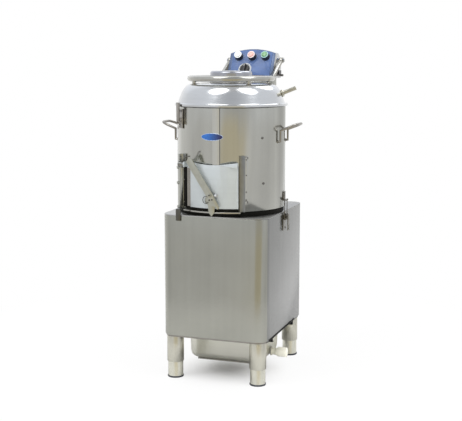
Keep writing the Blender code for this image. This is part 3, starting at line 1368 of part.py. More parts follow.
def inlet_seat():
    """Where the water inlet stands on the dome, and its direction, square to the facet that carries it."""
    inner, high = dome_point(LID_DOME_SHARES[INLET_SEGMENT])
    outer, low = dome_point(LID_DOME_SHARES[INLET_SEGMENT + 1])
    facet = 2 * math.pi / DRUM_STEPS
    azimuth = (math.floor(INLET_AZIMUTH / facet) + 0.5) * facet
    radius = (inner + outer) / 2
    tilt = math.atan2(outer - inner, high - low)
    outward = round_point(math.cos(tilt), azimuth, math.sin(tilt))
    return round_point(radius, azimuth, (high + low) / 2), outward


def lid_frame():
    """Ring handle on four posts, with two arms that run back and up to the hinge."""
    height = LID_TOP + RING_RISE
    loop = [(x, y, height) for x, y in circle(RING_RADIUS, steps=RING_STEPS)]
    frame = bent_rod("lid_frame", loop, RING_TUBE, cyclic=True)
    post_foot = dome_height(RING_RADIUS - POST_RADIUS) + SEAT
    for azimuth in (POST_ANGLE, -POST_ANGLE, math.pi - POST_ANGLE, math.pi + POST_ANGLE):
        unite(frame, rod(
            "post", round_point(RING_RADIUS, azimuth, post_foot), round_point(RING_RADIUS, azimuth, height),
            POST_RADIUS, 12,
        ))
    start_y = math.sqrt(RING_RADIUS ** 2 - ARM_OFFSET ** 2)
    for side in (-1, 1):
        arm_x = side * ARM_OFFSET
        arm = bent_rod("arm", (
            (arm_x, start_y, height), (arm_x, ARM_LEVEL_END, height), (arm_x, LID_HINGE.y, LID_HINGE.z),
        ), ARM_TUBE)
        eye = rod(
            "eye", (arm_x - EYE_WIDTH / 2, LID_HINGE.y, LID_HINGE.z),
            (arm_x + EYE_WIDTH / 2, LID_HINGE.y, LID_HINGE.z), EYE_RADIUS, 20,
        )
        bore = rod(
            "eye_bore", (arm_x - EYE_WIDTH, LID_HINGE.y, LID_HINGE.z),
            (arm_x + EYE_WIDTH, LID_HINGE.y, LID_HINGE.z), LID_PIN_RADIUS + RUNNING, 20,
        )
        unite(frame, cut(unite(arm, eye), bore))
    return frame


def build_lid_latch():
    """Base with two ears on the drum, and the lever whose nose stands before the lid's brim."""
    half = LATCH_HALF_WIDTH
    back = -(DRUM_RADIUS + SEAT)
    top = DRUM_TOP - LATCH_DROP
    bottom = top - LATCH_HEIGHT
    axis = Vector((0, -(DRUM_RADIUS + LATCH_AXIS_STANDOFF), bottom + LATCH_AXIS_RISE))
    base = block("lid_latch_base", (-half, back - LATCH_PLATE, bottom), (half, back, top))
    for side in (-1, 1):
        outer = side * (half - SEAT)
        inner = outer - side * LATCH_EAR
        unite(base, block(
            "latch_ear", (min(outer, inner), axis.y - LATCH_EAR_REACH, axis.z - LATCH_EAR_HEIGHT / 2),
            (max(outer, inner), back - SEAT, axis.z + LATCH_EAR_HEIGHT / 2),
        ))
    unite(base, rod(
        "latch_pin", (LATCH_EAR / 2 - half, axis.y, axis.z), (half - LATCH_EAR / 2, axis.y, axis.z),
        LATCH_PIN_RADIUS, 12,
    ))
    finished(carried_round(base, LATCH_AZIMUTH), POLISHED, machine)

    lever_half = half - LATCH_EAR - 2 * SEAT - RUNNING
    before_brim = -(DRUM_RADIUS + BRIM_OVERHANG + RUNNING + LATCH_NOSE)
    lever_back = min(axis.y + LATCH_LEVER_THICKNESS / 2, before_brim)
    lever_top = DRUM_TOP + LATCH_LEVER_TOP
    lever = block(
        "lid_latch_lever", (-lever_half, lever_back - LATCH_LEVER_THICKNESS, axis.z),
        (lever_half, lever_back, lever_top),
    )
    nose = block(
        "latch_nose", (SEAT - lever_half, lever_back - LATCH_NOSE, lever_top - LATCH_LEVER_THICKNESS),
        (lever_half - SEAT, lever_back + LATCH_NOSE, lever_top - SEAT),
    )
    knuckle_radius = LATCH_PIN_RADIUS + LATCH_NOSE
    knuckle = rod(
        "latch_knuckle", (SEAT - lever_half, axis.y, axis.z), (lever_half - SEAT, axis.y, axis.z),
        knuckle_radius, 16,
    )
    unite(lever, knuckle, nose)
    cut(lever, rod(
        "latch_bore", (-half, axis.y, axis.z), (half, axis.y, axis.z), LATCH_PIN_RADIUS + RUNNING, 16,
    ))
    pivot = empty("lid_latch_axis", Matrix.Rotation(LATCH_AZIMUTH, 3, "Z") @ axis, machine)
    finished(carried_round(lever, LATCH_AZIMUTH), POLISHED, pivot, pivot=True)


def arch_rise(across, sagitta):
    """How far the housing's arched top lies below its crown at a distance from the middle."""
    return sagitta * (across / COLUMN_HALF_WIDTH) ** 2


def housing_form(name, inset):
    """The housing's form, drawn in all round by an inset: its side profile crossed with its arched front."""
    tan = math.tan(FACE_TILT)
    lean = inset / math.cos(FACE_TILT)
    bottom, top = HOUSING_BOTTOM + inset, HOUSING_TOP - inset
    front_low = HOUSING_FRONT + inset * tan + lean
    front_high = front_low + (top - bottom) * tan
    back = HOUSING_BACK - inset
    profile = ((front_low, bottom), (back, bottom), (back, HOUSING_BOTTOM + HOUSING_BACK_HEIGHT - inset),
               (front_high, top))
    half = COLUMN_HALF_WIDTH - inset
    side = extruded(name, (profile,), 2 * half, (0, 0, 0), ALONG_X)
    sagitta = HOUSING_HEIGHT - HOUSING_CORNER_HEIGHT
    arch = [(half * (1 - 2 * step / ARCH_STEPS), 0) for step in range(ARCH_STEPS + 1)]
    arch = [(x, top + SEAT - arch_rise(x, sagitta)) for x, _ in arch]
    front = [(half + OVERRUN, arch[0][1]), *arch, (-half - OVERRUN, arch[-1][1])]
    front += [(-half - OVERRUN, bottom - OVERRUN), (half + OVERRUN, bottom - OVERRUN)]
    depth = HOUSING_DEPTH + 2 * OVERRUN
    middle = (HOUSING_FRONT + HOUSING_BACK) / 2
    return combine(side, extruded("arch", (front,), depth, (0, middle, 0), ALONG_Y), "INTERSECT")


def build_controls():
    """Column, hollow housing with the lid's hinge pins, panel with collars and dial, knob and buttons."""
    outer = rounded_rectangle(2 * COLUMN_HALF_WIDTH, COLUMN_DEPTH, COLUMN_CORNER)
    inner_width = 2 * (COLUMN_HALF_WIDTH - COLUMN_WALL)
    inner_depth = COLUMN_DEPTH - 2 * COLUMN_WALL
    inner = rounded_rectangle(inner_width, inner_depth, COLUMN_CORNER - COLUMN_WALL)
    low, high = CABINET_TOP + SEAT, HOUSING_BOTTOM - SEAT
    column_y = (COLUMN_FRONT + COLUMN_BACK) / 2
    column = extruded("control_column", (outer, inner), high - low, (0, column_y, (low + high) / 2))
    finished(column, STEEL, machine)

    housing = cut(housing_form("control_housing", 0), housing_form("housing_hollow", HOUSING_WALL))
    cut(housing, block(
        "column_opening", (-inner_width / 2, column_y - inner_depth / 2, HOUSING_BOTTOM - OVERRUN),
        (inner_width / 2, column_y + inner_depth / 2, HOUSING_BOTTOM + HOUSING_WALL + OVERRUN),
    ))
    plane = empty("panel_plane", (0, HOUSING_FRONT, HOUSING_BOTTOM), machine, (-FACE_TILT, 0, 0))
    face = Matrix.Translation(plane.location) @ Matrix.Rotation(-FACE_TILT, 4, "X")
    collar_inner = BUTTON_RADIUS + RUNNING
    buttons = (("white", -1, WHITE_PLASTIC), ("red", 0, RED_PLASTIC), ("green", 1, GREEN_PLASTIC))
    for _, step, _ in buttons:
        hole = rod(
            "button_hole", (step * BUTTON_PITCH, -OVERRUN, BUTTON_RISE),
            (step * BUTTON_PITCH, OVERRUN, BUTTON_RISE), collar_inner,
        )
        hole.matrix_basis = face @ hole.matrix_basis
        cut(housing, hole)
    unite(housing, lid_hinge_pin(-1), lid_hinge_pin(1))
    finished(housing, STEEL, machine)

    panel = panel_plate()
    panel_front = -(SEAT + FACE_PLATE)
    for _, step, _ in buttons:
        place = step * BUTTON_PITCH
        collar = disc("collar", collar_inner + COLLAR_WIDTH, -SEAT, COLLAR_HEIGHT, SMALL_STEPS)
        collar.rotation_euler = (math.radians(90), 0, 0)
        collar.location = (place, panel_front, BUTTON_RISE)
        hole = rod(
            "panel_hole", (place, -OVERRUN - COLLAR_HEIGHT, BUTTON_RISE), (place, OVERRUN, BUTTON_RISE),
            collar_inner,
        )
        cut(unite(panel, collar), hole)
    dial = disc("timer_dial", DIAL_RADIUS, -SEAT, DIAL_THICKNESS, 32)
    dial.rotation_euler = (math.radians(90), 0, 0)
    dial.location = (KNOB_OFFSET, panel_front, KNOB_RISE)
    finished(unite(panel, dial), BLUE, plane)

    for name, step, finish in buttons:
        profile = [(0, BUTTON_REACH)]
        profile += [
            (BUTTON_RADIUS - BUTTON_ROUNDING + across, BUTTON_REACH - BUTTON_ROUNDING + up)
            for across, up in arc((0, 0), BUTTON_ROUNDING, math.radians(90), 0, 2)
        ]
        profile += [(BUTTON_RADIUS, -BUTTON_DEPTH), (0, -BUTTON_DEPTH)]
        button = turned(f"button_{name}", profile)
        button.rotation_euler = (math.radians(90), 0, 0)
        button.location = (step * BUTTON_PITCH, panel_front, BUTTON_RISE)
        slide = empty(f"button_{name}_slide", button.location, plane)
        finished(button, finish, slide, pivot=True)

    knob_back = DIAL_THICKNESS + SEAT
    knob = turned("timer_knob", (
        (0, knob_back + KNOB_BASE), (KNOB_RADIUS * KNOB_CREST_SHARE, knob_back + KNOB_BASE),
        (KNOB_RADIUS, knob_back + KNOB_BASE * KNOB_CHAMFER_SHARE), (KNOB_RADIUS, knob_back), (0, knob_back),
    ), 24)
    grip_reach = KNOB_RADIUS * KNOB_GRIP_SHARE
    grip = block(
        "knob_grip", (-KNOB_GRIP_WIDTH / 2, -grip_reach, knob_back + KNOB_BASE / 2),
        (KNOB_GRIP_WIDTH / 2, grip_reach, knob_back + KNOB_BASE + KNOB_GRIP_HEIGHT),
    )
    unite(knob, bevelled(grip, KNOB_GRIP_WIDTH / 5))
    knob.rotation_euler = (math.radians(90), 0, 0)
    knob.location = (KNOB_OFFSET, panel_front, KNOB_RISE)
    knob_axis = empty("timer_knob_axis", knob.location, plane)
    finished(knob, BLACK_PLASTIC, knob_axis, pivot=True)


def panel_plate():
    """The coloured face plate, with the housing's arch along its top. It lies in the panel plane."""
    scale = 1 / math.cos(FACE_TILT)
    half = COLUMN_HALF_WIDTH - FACE_SIDE_MARGIN
    sagitta = HOUSING_HEIGHT - HOUSING_CORNER_HEIGHT
    crown = HOUSING_HEIGHT * scale - FACE_TOP_MARGIN
    outline = [(half * (1 - 2 * step / ARCH_STEPS), 0) for step in range(ARCH_STEPS + 1)]
    outline = [(x, crown - arch_rise(x, sagitta) * scale) for x, _ in outline]
    outline += [(-half, FACE_BOTTOM_MARGIN), (half, FACE_BOTTOM_MARGIN)]
    return extruded("control_panel", (outline,), FACE_PLATE, (0, -(SEAT + FACE_PLATE / 2), 0), ALONG_Y)


def tray_outlines():
    """The pan's outlines from its rim to its floor, each with its height."""
    corner = TRAY_CORNER
    middle = (0, TRAY_BACK)
    rim = TRAY_RIM
    outlines = [
        (rounded_rectangle(TRAY_LENGTH, TRAY_WIDTH, corner + rim, middle), TRAY_TOP),
        (rounded_rectangle(TRAY_BODY_LENGTH, TRAY_BODY_WIDTH, corner, middle), TRAY_TOP),
    ]
    for step in range(TRAY_BASE_STEPS + 1):
        angle = math.radians(90) * step / TRAY_BASE_STEPS
        inset = TRAY_DRAFT + TRAY_BASE_RADIUS * (1 - math.cos(angle))
        outline = rounded_rectangle(
            TRAY_BODY_LENGTH - 2 * inset, TRAY_BODY_WIDTH - 2 * inset, corner - inset / 2, middle
        )
        outlines.append((outline, TRAY_BOTTOM + TRAY_BASE_RADIUS * (1 - math.sin(angle))))
    return outlines


def build_tray():
    """Two rails under the base plate, the tray that hangs in them, and its drain tap."""
    rail_start = -TRAY_LENGTH / 2
    rail_end = TRAY_LENGTH / 2 + RAIL_OVERHANG
    ledge_top = TRAY_TOP - TRAY_WALL / 2 - SEAT
    rail_top = BASE_BOTTOM - SEAT
    for name, side in (("front", -1), ("rear", 1)):
        web = TRAY_WIDTH / 2 + RAIL_GAP
        outer = web + RAIL_THICKNESS
        inner = outer - RAIL_LEDGE
        profile = (
            (inner, ledge_top), (inner, ledge_top - RAIL_THICKNESS), (outer, ledge_top - RAIL_THICKNESS),
            (outer, rail_top), (inner, rail_top), (inner, rail_top - RAIL_THICKNESS),
            (web, rail_top - RAIL_THICKNESS), (web, ledge_top),
        )
        outline = [(TRAY_BACK + side * across, up) for across, up in profile]
        middle = ((rail_start + rail_end) / 2, 0, 0)
        rail = extruded(f"tray_rail_{name}", (outline,), rail_end - rail_start, middle, ALONG_X)
        finished(rail, BLACK_STEEL, machine)

    slide = empty("tray_slide", (0, TRAY_BACK, TRAY_TOP), machine)
    tray = loft("tray", tray_outlines(), TRAY_WALL)
    axis = Vector((0, TRAY_BACK, TAP_HEIGHT))
    wall_outer = TRAY_WALL_X + TRAY_WALL
    cut(tray, rod(
        "tap_hole", axis + Vector((wall_outer - TAP_NUT_LENGTH - OVERRUN - TRAY_BASE_RADIUS / 2, 0, 0)),
        axis + Vector((wall_outer + OVERRUN, 0, 0)), TAP_BORE + RUNNING,
    ))
    finished(tray, STEEL, slide, pivot=True)

    body_start = TAP_SEAL_THICKNESS
    body_end = body_start + TAP_BODY_LENGTH
    nut_start = -TRAY_BASE_RADIUS / 2
    body = turned("tap_body", (
        (0, body_end), (TAP_NECK_RADIUS, body_end), (TAP_BODY_RADIUS, body_end - TAP_BODY_LENGTH / 4),
        (TAP_BODY_RADIUS, body_start), (TAP_SEAL_RADIUS, body_start), (TAP_SEAL_RADIUS, SEAT),
        (TAP_BORE, SEAT), (TAP_BORE, nut_start),
        (TAP_NUT_RADIUS, nut_start), (TAP_NUT_RADIUS, nut_start - TAP_NUT_LENGTH),
        (0, nut_start - TAP_NUT_LENGTH),
    ))
    knob_start = body_end + SEAT
    knob_end = knob_start + TAP_KNOB_LENGTH
    knob = extruded(
        "tap_knob", (lobed(TAP_KNOB_RADIUS, TAP_KNOB_LOBES),), knob_end - knob_start,
        (0, 0, (knob_start + knob_end) / 2),
    )
    for piece in (body, knob):
        lie = Matrix.Rotation(math.radians(90), 4, "Y")
        place = Matrix.Translation(axis + Vector((wall_outer, 0, 0)))
        piece.matrix_basis = place @ lie @ piece.matrix_basis
    knob_axis = empty("tap_knob_axis", knob.location, machine)
    finished(body, CREAM_PLASTIC, slide, pivot=True)
    finished(knob, CREAM_PLASTIC, knob_axis, pivot=True)


def lobed(radius, lobes):
    """The outline of a grip with shallow flutes between its lobes."""
    count = lobes * LOBE_STEPS
    outline = []
    for index in range(count):
        angle = 2 * math.pi * index / count
        reach = radius * (1 - LOBE_DEPTH_SHARE * (1 - math.cos(lobes * angle)) / 2)
        outline.append((reach * math.cos(angle), reach * math.sin(angle)))
    return outline


build_stand()
build_cabinet()
build_drum()
build_drive()
build_door_frame()
build_door()
build_drum_handles()
build_toggles()
build_lid()
build_lid_latch()
build_controls()
build_tray()
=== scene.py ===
"""Looks of the electric potato peeler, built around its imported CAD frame."""

import fnmatch
from math import atan2, cos, hypot, pi, radians, sin

import bmesh
import bpy
from mathutils import Matrix, Vector
from mathutils.bvhtree import BVHTree


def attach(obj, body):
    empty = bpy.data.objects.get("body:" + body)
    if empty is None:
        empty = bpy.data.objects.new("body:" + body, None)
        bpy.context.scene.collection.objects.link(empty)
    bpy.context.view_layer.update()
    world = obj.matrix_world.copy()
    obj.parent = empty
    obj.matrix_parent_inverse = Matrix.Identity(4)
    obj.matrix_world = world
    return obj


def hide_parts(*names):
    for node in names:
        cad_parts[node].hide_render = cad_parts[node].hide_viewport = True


MM = 0.001
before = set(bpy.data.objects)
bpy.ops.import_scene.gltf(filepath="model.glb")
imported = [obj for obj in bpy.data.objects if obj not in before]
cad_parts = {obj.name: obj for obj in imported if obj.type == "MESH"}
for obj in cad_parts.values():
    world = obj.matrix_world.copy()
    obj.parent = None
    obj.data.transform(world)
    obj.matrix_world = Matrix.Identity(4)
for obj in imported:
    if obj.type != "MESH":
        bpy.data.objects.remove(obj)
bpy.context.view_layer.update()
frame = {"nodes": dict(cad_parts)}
scene = bpy.context.scene

# Places and sizes of the machine that the fine pieces are set out from.
# SKIN is how far a fine piece is sunk into the face that carries it, and SINK the same in mm.
DRUM_AXIS = Vector((0, -51.6 * MM, 0))
DRUM_RADIUS = 200 * MM
DRUM_TOP = 998.6 * MM
SINK = 0.15
SKIN = SINK * MM
FACE_TILT = radians(28)
FACE_FOOT = Vector((0, 156.9 * MM, 1094.6 * MM))
FACE_FRONT = 2.3 * MM
face_out = Vector((0, -cos(FACE_TILT), sin(FACE_TILT)))
face_up = Vector((0, sin(FACE_TILT), cos(FACE_TILT)))
BUTTON_RISE = 91 * MM
BUTTON_PITCH = 54 * MM
COLLAR_RADIUS = 15 * MM
COLLAR_HEIGHT = 19 * MM
KNOB_PLACE = (-22 * MM, 37 * MM)
DIAL_RADIUS = 25 * MM
DIAL_THICKNESS = 2 * MM
PAD_HEIGHT = 6 * MM
UP = Vector((0, 0, 1))
SIDES = (("left", -1), ("right", 1))

# Noise of the materials, in lines per metre, and the depth of their relief
FINE_GRAIN = 2600
BROAD_GRAIN = 60
STEEL_CLOUD = 9
PLASTIC_CLOUD = 22
ENAMEL_CLOUD = 160
RELIEF = 0.2 * MM

# Camera
FOCAL_PIXELS = 1013.35
IMAGE_WIDTH = 462
CAMERA_AZIMUTH = radians(19.1846)
CAMERA_PITCH = radians(8.3343)
CAMERA_DISTANCE = 3756.53 * MM
CAMERA_HEIGHT = 1155.95 * MM
CAMERA_ASIDE = -1.48 * MM

towards_camera = Vector((sin(CAMERA_AZIMUTH), -cos(CAMERA_AZIMUTH), 0))
camera_right = Vector((cos(CAMERA_AZIMUTH), sin(CAMERA_AZIMUTH), 0))


def place_camera():
    data = bpy.data.cameras.new("camera")
    data.sensor_width = 36
    data.lens = data.sensor_width * FOCAL_PIXELS / IMAGE_WIDTH
    data.clip_end = 200
    camera = bpy.data.objects.new("camera", data)
    aside = camera_right * CAMERA_ASIDE + UP * CAMERA_HEIGHT
    camera.location = DRUM_AXIS + towards_camera * CAMERA_DISTANCE + aside
    camera.rotation_euler = (pi / 2 - CAMERA_PITCH, 0, CAMERA_AZIMUTH)
    scene.collection.objects.link(camera)
    scene.camera = camera
    scene.view_settings.view_transform = "Standard"


def rgba(colour):
    if isinstance(colour, (int, float)):
        return (colour, colour, colour, 1)
    return (*colour, 1)


class Nodes:
    """Adds shader nodes to a tree and links them."""

    def __init__(self, tree):
        self.tree = tree

    def add(self, kind, settings=None, **inputs):
        node = self.tree.nodes.new(kind)
        for name, value in (settings or {}).items():
            setattr(node, name, value)
        for name, value in inputs.items():
            self.put(node, name.replace("_", " "), value)
        return node

    def put(self, node, name, value):
        socket = node.inputs[int(name)] if name.isdigit() else node.inputs[name]
        if isinstance(value, bpy.types.NodeSocket):
            self.tree.links.new(value, socket)
        else:
            socket.default_value = value

    def math(self, operation, first, second=0.0):
        node = self.tree.nodes.new("ShaderNodeMath")
        node.operation = operation
        self.put(node, "0", first)
        self.put(node, "1", second)
        return node.outputs[0]

    def mix(self, share, first, second, blend="MIX"):
        node = self.tree.nodes.new("ShaderNodeMix")
        node.data_type = "RGBA"
        node.blend_type = blend
        self.put(node, "0", share)
        self.put(node, "6", first)
        self.put(node, "7", second)
        return node.outputs[2]

    def noise(self, place, scale, detail=3):
        return self.add("ShaderNodeTexNoise", Vector=place, Scale=scale, Detail=detail).outputs[0]

    def emboss(self, shader, height, strength, depth):
        """Bumps the shader's surface by a height."""
        raised = self.add("ShaderNodeBump", Height=height, Strength=strength, Distance=depth)
        self.put(shader, "Normal", raised.outputs[0])

    def blend_shaders(self, share, first, second):
        node = self.tree.nodes.new("ShaderNodeMixShader")
        for index, value in enumerate((share, first, second)):
            self.put(node, str(index), value)
        return node.outputs[0]

    def ramp(self, value, *stops):
        node = self.tree.nodes.new("ShaderNodeValToRGB")
        self.put(node, "0", value)
        ramp = node.color_ramp
        while len(ramp.elements) < len(stops):
            ramp.elements.new(0.5)
        for element, (place, colour) in zip(ramp.elements, stops):
            element.position = place
            element.color = rgba(colour)
        return node.outputs[0]

    def rise(self, value, start, end):
        """Smoothly from 0 to 1 as the value goes from start to end."""
        node = self.tree.nodes.new("ShaderNodeMapRange")
        node.interpolation_type = "SMOOTHSTEP"
        self.put(node, "Value", value)
        self.put(node, "From Min", start)
        self.put(node, "From Max", end)
        return node.outputs[0]


def new_material(name):
    made = bpy.data.materials.new(name)
    made.use_nodes = True
    nodes = Nodes(made.node_tree)
    shader = made.node_tree.nodes["Principled BSDF"]
    place = nodes.add("ShaderNodeTexCoord").outputs["Object"]
    return made, nodes, shader, place


def tones(colour, share):
    """Stops of a ramp from a darker to a lighter tone of a colour."""
    dark = tuple(c * (1 - share) for c in colour)
    light = tuple(min(c * (1 + share), 1) for c in colour)
    return (0.35, dark), (0.65, light)


def steel(
    name, colour, roughness, grain=(1, 1, 0.02), spread=0.06, streak=0.03, bump=0.02, dirt=0.04, painted_shade=None,
    metal=1.0,
):
    """Stainless steel with fine lines along the axis whose grain scale is small.

    A painted_shade is the two places along X between which the colour darkens as painted shade, and the
    share that is left there.
    """
    made, nodes, shader, place = new_material(name)
    stretched = nodes.add("ShaderNodeMapping", Vector=place, Scale=grain).outputs[0]
    fine = nodes.noise(stretched, FINE_GRAIN)
    broad = nodes.noise(stretched, BROAD_GRAIN, 4)
    cloud = nodes.noise(place, STEEL_CLOUD)
    tone = nodes.ramp(broad, *tones(colour, streak))
    smudge = nodes.ramp(cloud, (0.4, 1.0), (0.7, 1 - dirt))
    tone = nodes.mix(1.0, tone, smudge, "MULTIPLY")
    # Painted shade: the colour darkens along X between the two places.
    if painted_shade:
        start, end, left = painted_shade
        across = nodes.add("ShaderNodeSeparateXYZ", Vector=place).outputs[0]
        darker = nodes.mix(nodes.rise(across, start, end), rgba(1.0), rgba(left))
        tone = nodes.mix(1.0, tone, darker, "MULTIPLY")
    nodes.put(shader, "Base Color", tone)
    shader.inputs["Metallic"].default_value = metal
    lines = nodes.math("MULTIPLY", fine, spread)
    patches = nodes.math("MULTIPLY", cloud, spread)
    rough = nodes.math("ADD", nodes.math("ADD", lines, patches), roughness - spread)
    nodes.put(shader, "Roughness", rough)
    nodes.emboss(shader, fine, bump, RELIEF)
    return made


def moulded(name, colour, roughness, grain=900, bump=0.05, vary=0.06, coat=0.0, gloss=0.5):
    """Moulded plastic, rubber or paint with a fine texture and slight changes of tone."""
    made, nodes, shader, place = new_material(name)
    fine = nodes.noise(place, grain)
    cloud = nodes.noise(place, PLASTIC_CLOUD)
    nodes.put(shader, "Base Color", nodes.ramp(cloud, *tones(colour, vary)))
    patches = nodes.math("MULTIPLY", cloud, 0.12)
    nodes.put(shader, "Roughness", nodes.math("ADD", patches, roughness - 0.06))
    nodes.emboss(shader, fine, bump, RELIEF)
    shader.inputs["Coat Weight"].default_value = coat
    shader.inputs["Specular IOR Level"].default_value = gloss
    return made


def gritty(name, colour, size):
    """Silicon carbide grains bonded to a surface: sharp dark grains with a few that glint."""
    made, nodes, shader, place = new_material(name)
    grains = nodes.add("ShaderNodeTexVoronoi", Vector=place, Scale=1 / size)
    grey = nodes.add("ShaderNodeSeparateColor", Color=grains.outputs["Color"]).outputs[0]
    dark = tuple(c * 0.45 for c in colour)
    light = tuple(c * 1.7 for c in colour)
    nodes.put(shader, "Base Color", nodes.ramp(grey, (0.1, dark), (0.75, colour), (0.95, light)))
    nodes.put(shader, "Roughness", nodes.math("ADD", nodes.math("MULTIPLY", grey, -0.45), 0.95))
    shader.inputs["Specular IOR Level"].default_value = 0.6
    height = nodes.math("SUBTRACT", 1.0, grains.outputs["Distance"])
    nodes.emboss(shader, height, 0.8, size)
    return made


def enamel(name, left, right, start, end):
    """Glossy enamel whose colour goes from left to right between two places along X."""
    made, nodes, shader, place = new_material(name)
    across = nodes.add("ShaderNodeSeparateXYZ", Vector=place).outputs[0]
    share = nodes.rise(across, start, end)
    cloud = nodes.noise(place, ENAMEL_CLOUD)
    tone = nodes.mix(share, rgba(left), rgba(right))
    mottle = nodes.ramp(cloud, (0.3, 0.94), (0.7, 1.0))
    nodes.put(shader, "Base Color", nodes.mix(1.0, tone, mottle, "MULTIPLY"))
    nodes.put(shader, "Roughness", nodes.math("ADD", nodes.math("MULTIPLY", cloud, 0.1), 0.18))
    shader.inputs["Coat Weight"].default_value = 0.5
    return made


EVEN = (1, 1, 1)
ACROSS = (0.02, 0.02, 1)
UPRIGHT = (1, 1, 0.02)
ALONG_X = (0.02, 1, 1)
satin_upright = steel("satin_upright", (0.42, 0.42, 0.375), 0.24, UPRIGHT, streak=0.02)
# Painted shade: a darker copy of the cabinet's steel, for its sides.
shaded_side_steel = steel("shaded_side_steel", (0.31, 0.312, 0.305), 0.26, UPRIGHT, streak=0.02)
# Painted shade: the drum's colour darkens towards its right edge, from x 190 to 200 mm.
satin_drum = steel(
    "satin_drum", (0.53, 0.53, 0.49), 0.2, UPRIGHT, streak=0.02, painted_shade=(190 * MM, 200 * MM, 0.68)
)
# Painted highlight: a lighter copy of the drum's steel, for the lapped seam strip.
seam_highlight_steel = steel("seam_highlight_steel", (0.6, 0.6, 0.56), 0.22, UPRIGHT, streak=0.02)
satin_leg = steel("satin_leg", (0.65, 0.635, 0.55), 0.28, UPRIGHT)
# Painted light: a lighter copy of the legs' steel, for the feet.
lit_foot_steel = steel("lit_foot_steel", (0.8, 0.79, 0.69), 0.28, UPRIGHT)
satin_tray = steel("satin_tray", (0.86, 0.85, 0.76), 0.36, ALONG_X)
# Painted shade: the deck's colour darkens towards +X, from x -50 to 200 mm, and so does that of the column's
# feet.
satin_deck = steel(
    "satin_deck", (0.54, 0.54, 0.53), 0.36, ALONG_X, painted_shade=(-50 * MM, 200 * MM, 0.62)
)
# Painted shade: a dark, blue-tinted copy of the housing's steel, for the margins round the panel.
margin_shade_steel = steel("margin_shade_steel", (0.14, 0.18, 0.28), 0.4, ALONG_X)
satin_housing = steel("satin_housing", (0.66, 0.66, 0.66), 0.34, ALONG_X)
polished = steel("polished", (0.5, 0.49, 0.45), 0.17, EVEN, spread=0.04, bump=0.01)
polished_lid = steel("polished_lid", (0.68, 0.69, 0.7), 0.15, ACROSS, spread=0.04, streak=0.015, bump=0.01)
polished_door = steel(
    "polished_door", (0.56, 0.6, 0.61), 0.42, ACROSS, spread=0.04, streak=0.02, bump=0.01, metal=0.55
)
cap_steel = steel("cap_steel", (0.45, 0.46, 0.5), 0.2, EVEN, spread=0.04, bump=0.01)
lever_steel = steel("lever_steel", (0.5, 0.5, 0.43), 0.3, EVEN, streak=0.05)
inlet_steel = steel("inlet_steel", (0.5, 0.48, 0.4), 0.28, EVEN, streak=0.05)
# Steel hardware, and also painted shade on the door's left edge and along the lid's arms.
hardware_and_shade = steel("hardware_and_shade", (0.34, 0.32, 0.29), 0.28, EVEN, streak=0.06)
jamb_steel = steel("jamb_steel", (0.29, 0.295, 0.285), 0.28, EVEN, streak=0.06)
toggle_steel = steel("toggle_steel", (0.19, 0.18, 0.155), 0.3, EVEN, streak=0.1)
dull_steel = steel("dull_steel", (0.42, 0.42, 0.41), 0.5, EVEN, streak=0.12, dirt=0.15)
cast = steel("cast", (0.52, 0.53, 0.54), 0.5, EVEN, streak=0.08, bump=0.3, dirt=0.1)
# Dark steel, and also painted shade on the left jamb's foot, along its edge and in the arc above the lever's
# pivot.
dark_steel_and_shade = steel("dark_steel_and_shade", (0.13, 0.125, 0.11), 0.35, EVEN, streak=0.1)
screw_steel = steel("screw_steel", (0.22, 0.21, 0.2), 0.32, EVEN, spread=0.08)
weld = steel("weld", (0.4, 0.38, 0.34), 0.34, EVEN, spread=0.1, streak=0.15, bump=0.2)
black_paint = moulded("black_paint", (0.012, 0.012, 0.012), 0.5, gloss=0.2)
rubber = moulded("rubber", (0.008, 0.0075, 0.006), 0.7, grain=1500, bump=0.15, vary=0.2, gloss=0.12)
pad_rubber = moulded("pad_rubber", (0.045, 0.048, 0.055), 0.6, grain=1500, bump=0.15, vary=0.2)
motor_paint = moulded("motor_paint", (0.1, 0.17, 0.26), 0.45, bump=0.15)
blue_film = moulded("blue_film", (0.085, 0.15, 0.34), 0.36, grain=2500, bump=0.04, coat=0.2)
badge_blue = enamel("badge_blue", (0.012, 0.115, 0.42), (0.006, 0.01, 0.07), -30 * MM, 34 * MM)
badge_silver = steel("badge_silver", (0.62, 0.72, 0.9), 0.25, EVEN)
white_plastic = moulded("white_plastic", (0.95, 0.97, 0.96), 0.3, coat=0.2, vary=0.02)
cream_plastic = moulded("cream_plastic", (0.95, 0.93, 0.8), 0.36, vary=0.03)
grey_plastic = moulded("grey_plastic", (0.68, 0.66, 0.54), 0.4, vary=0.05)
# Grey of the tap's seal, and also the painted shadow under the tray's walls.
seal_and_shadow_grey = moulded("seal_and_shadow_grey", (0.26, 0.25, 0.22), 0.5, vary=0.05)
# The button's red is lightened towards pink as a painted highlight.
red_plastic = moulded("red_plastic", (0.86, 0.48, 0.42), 0.25, coat=0.3)
green_plastic = moulded("green_plastic", (0.2, 0.4, 0.2), 0.25, coat=0.3)
pale_red_rim = moulded("pale_red_rim", (0.9, 0.78, 0.76), 0.3, coat=0.3, vary=0.03)
pale_green_rim = moulded("pale_green_rim", (0.36, 0.58, 0.56), 0.3, coat=0.3, vary=0.03)
black_plastic = moulded("black_plastic", (0.022, 0.021, 0.022), 0.35, coat=0.1)
collar_plastic = moulded("collar_plastic", (0.012, 0.016, 0.03), 0.3, coat=0.2)
dial_white = moulded("dial_white", (0.52, 0.54, 0.56), 0.4, vary=0.03)
# Black print, and also the painted shadow line along the drum's seam.
print_and_shadow_black = moulded("print_and_shadow_black", (0.02, 0.02, 0.02), 0.5)
abrasive = gritty("abrasive", (0.13, 0.115, 0.1), 1.6 * MM)

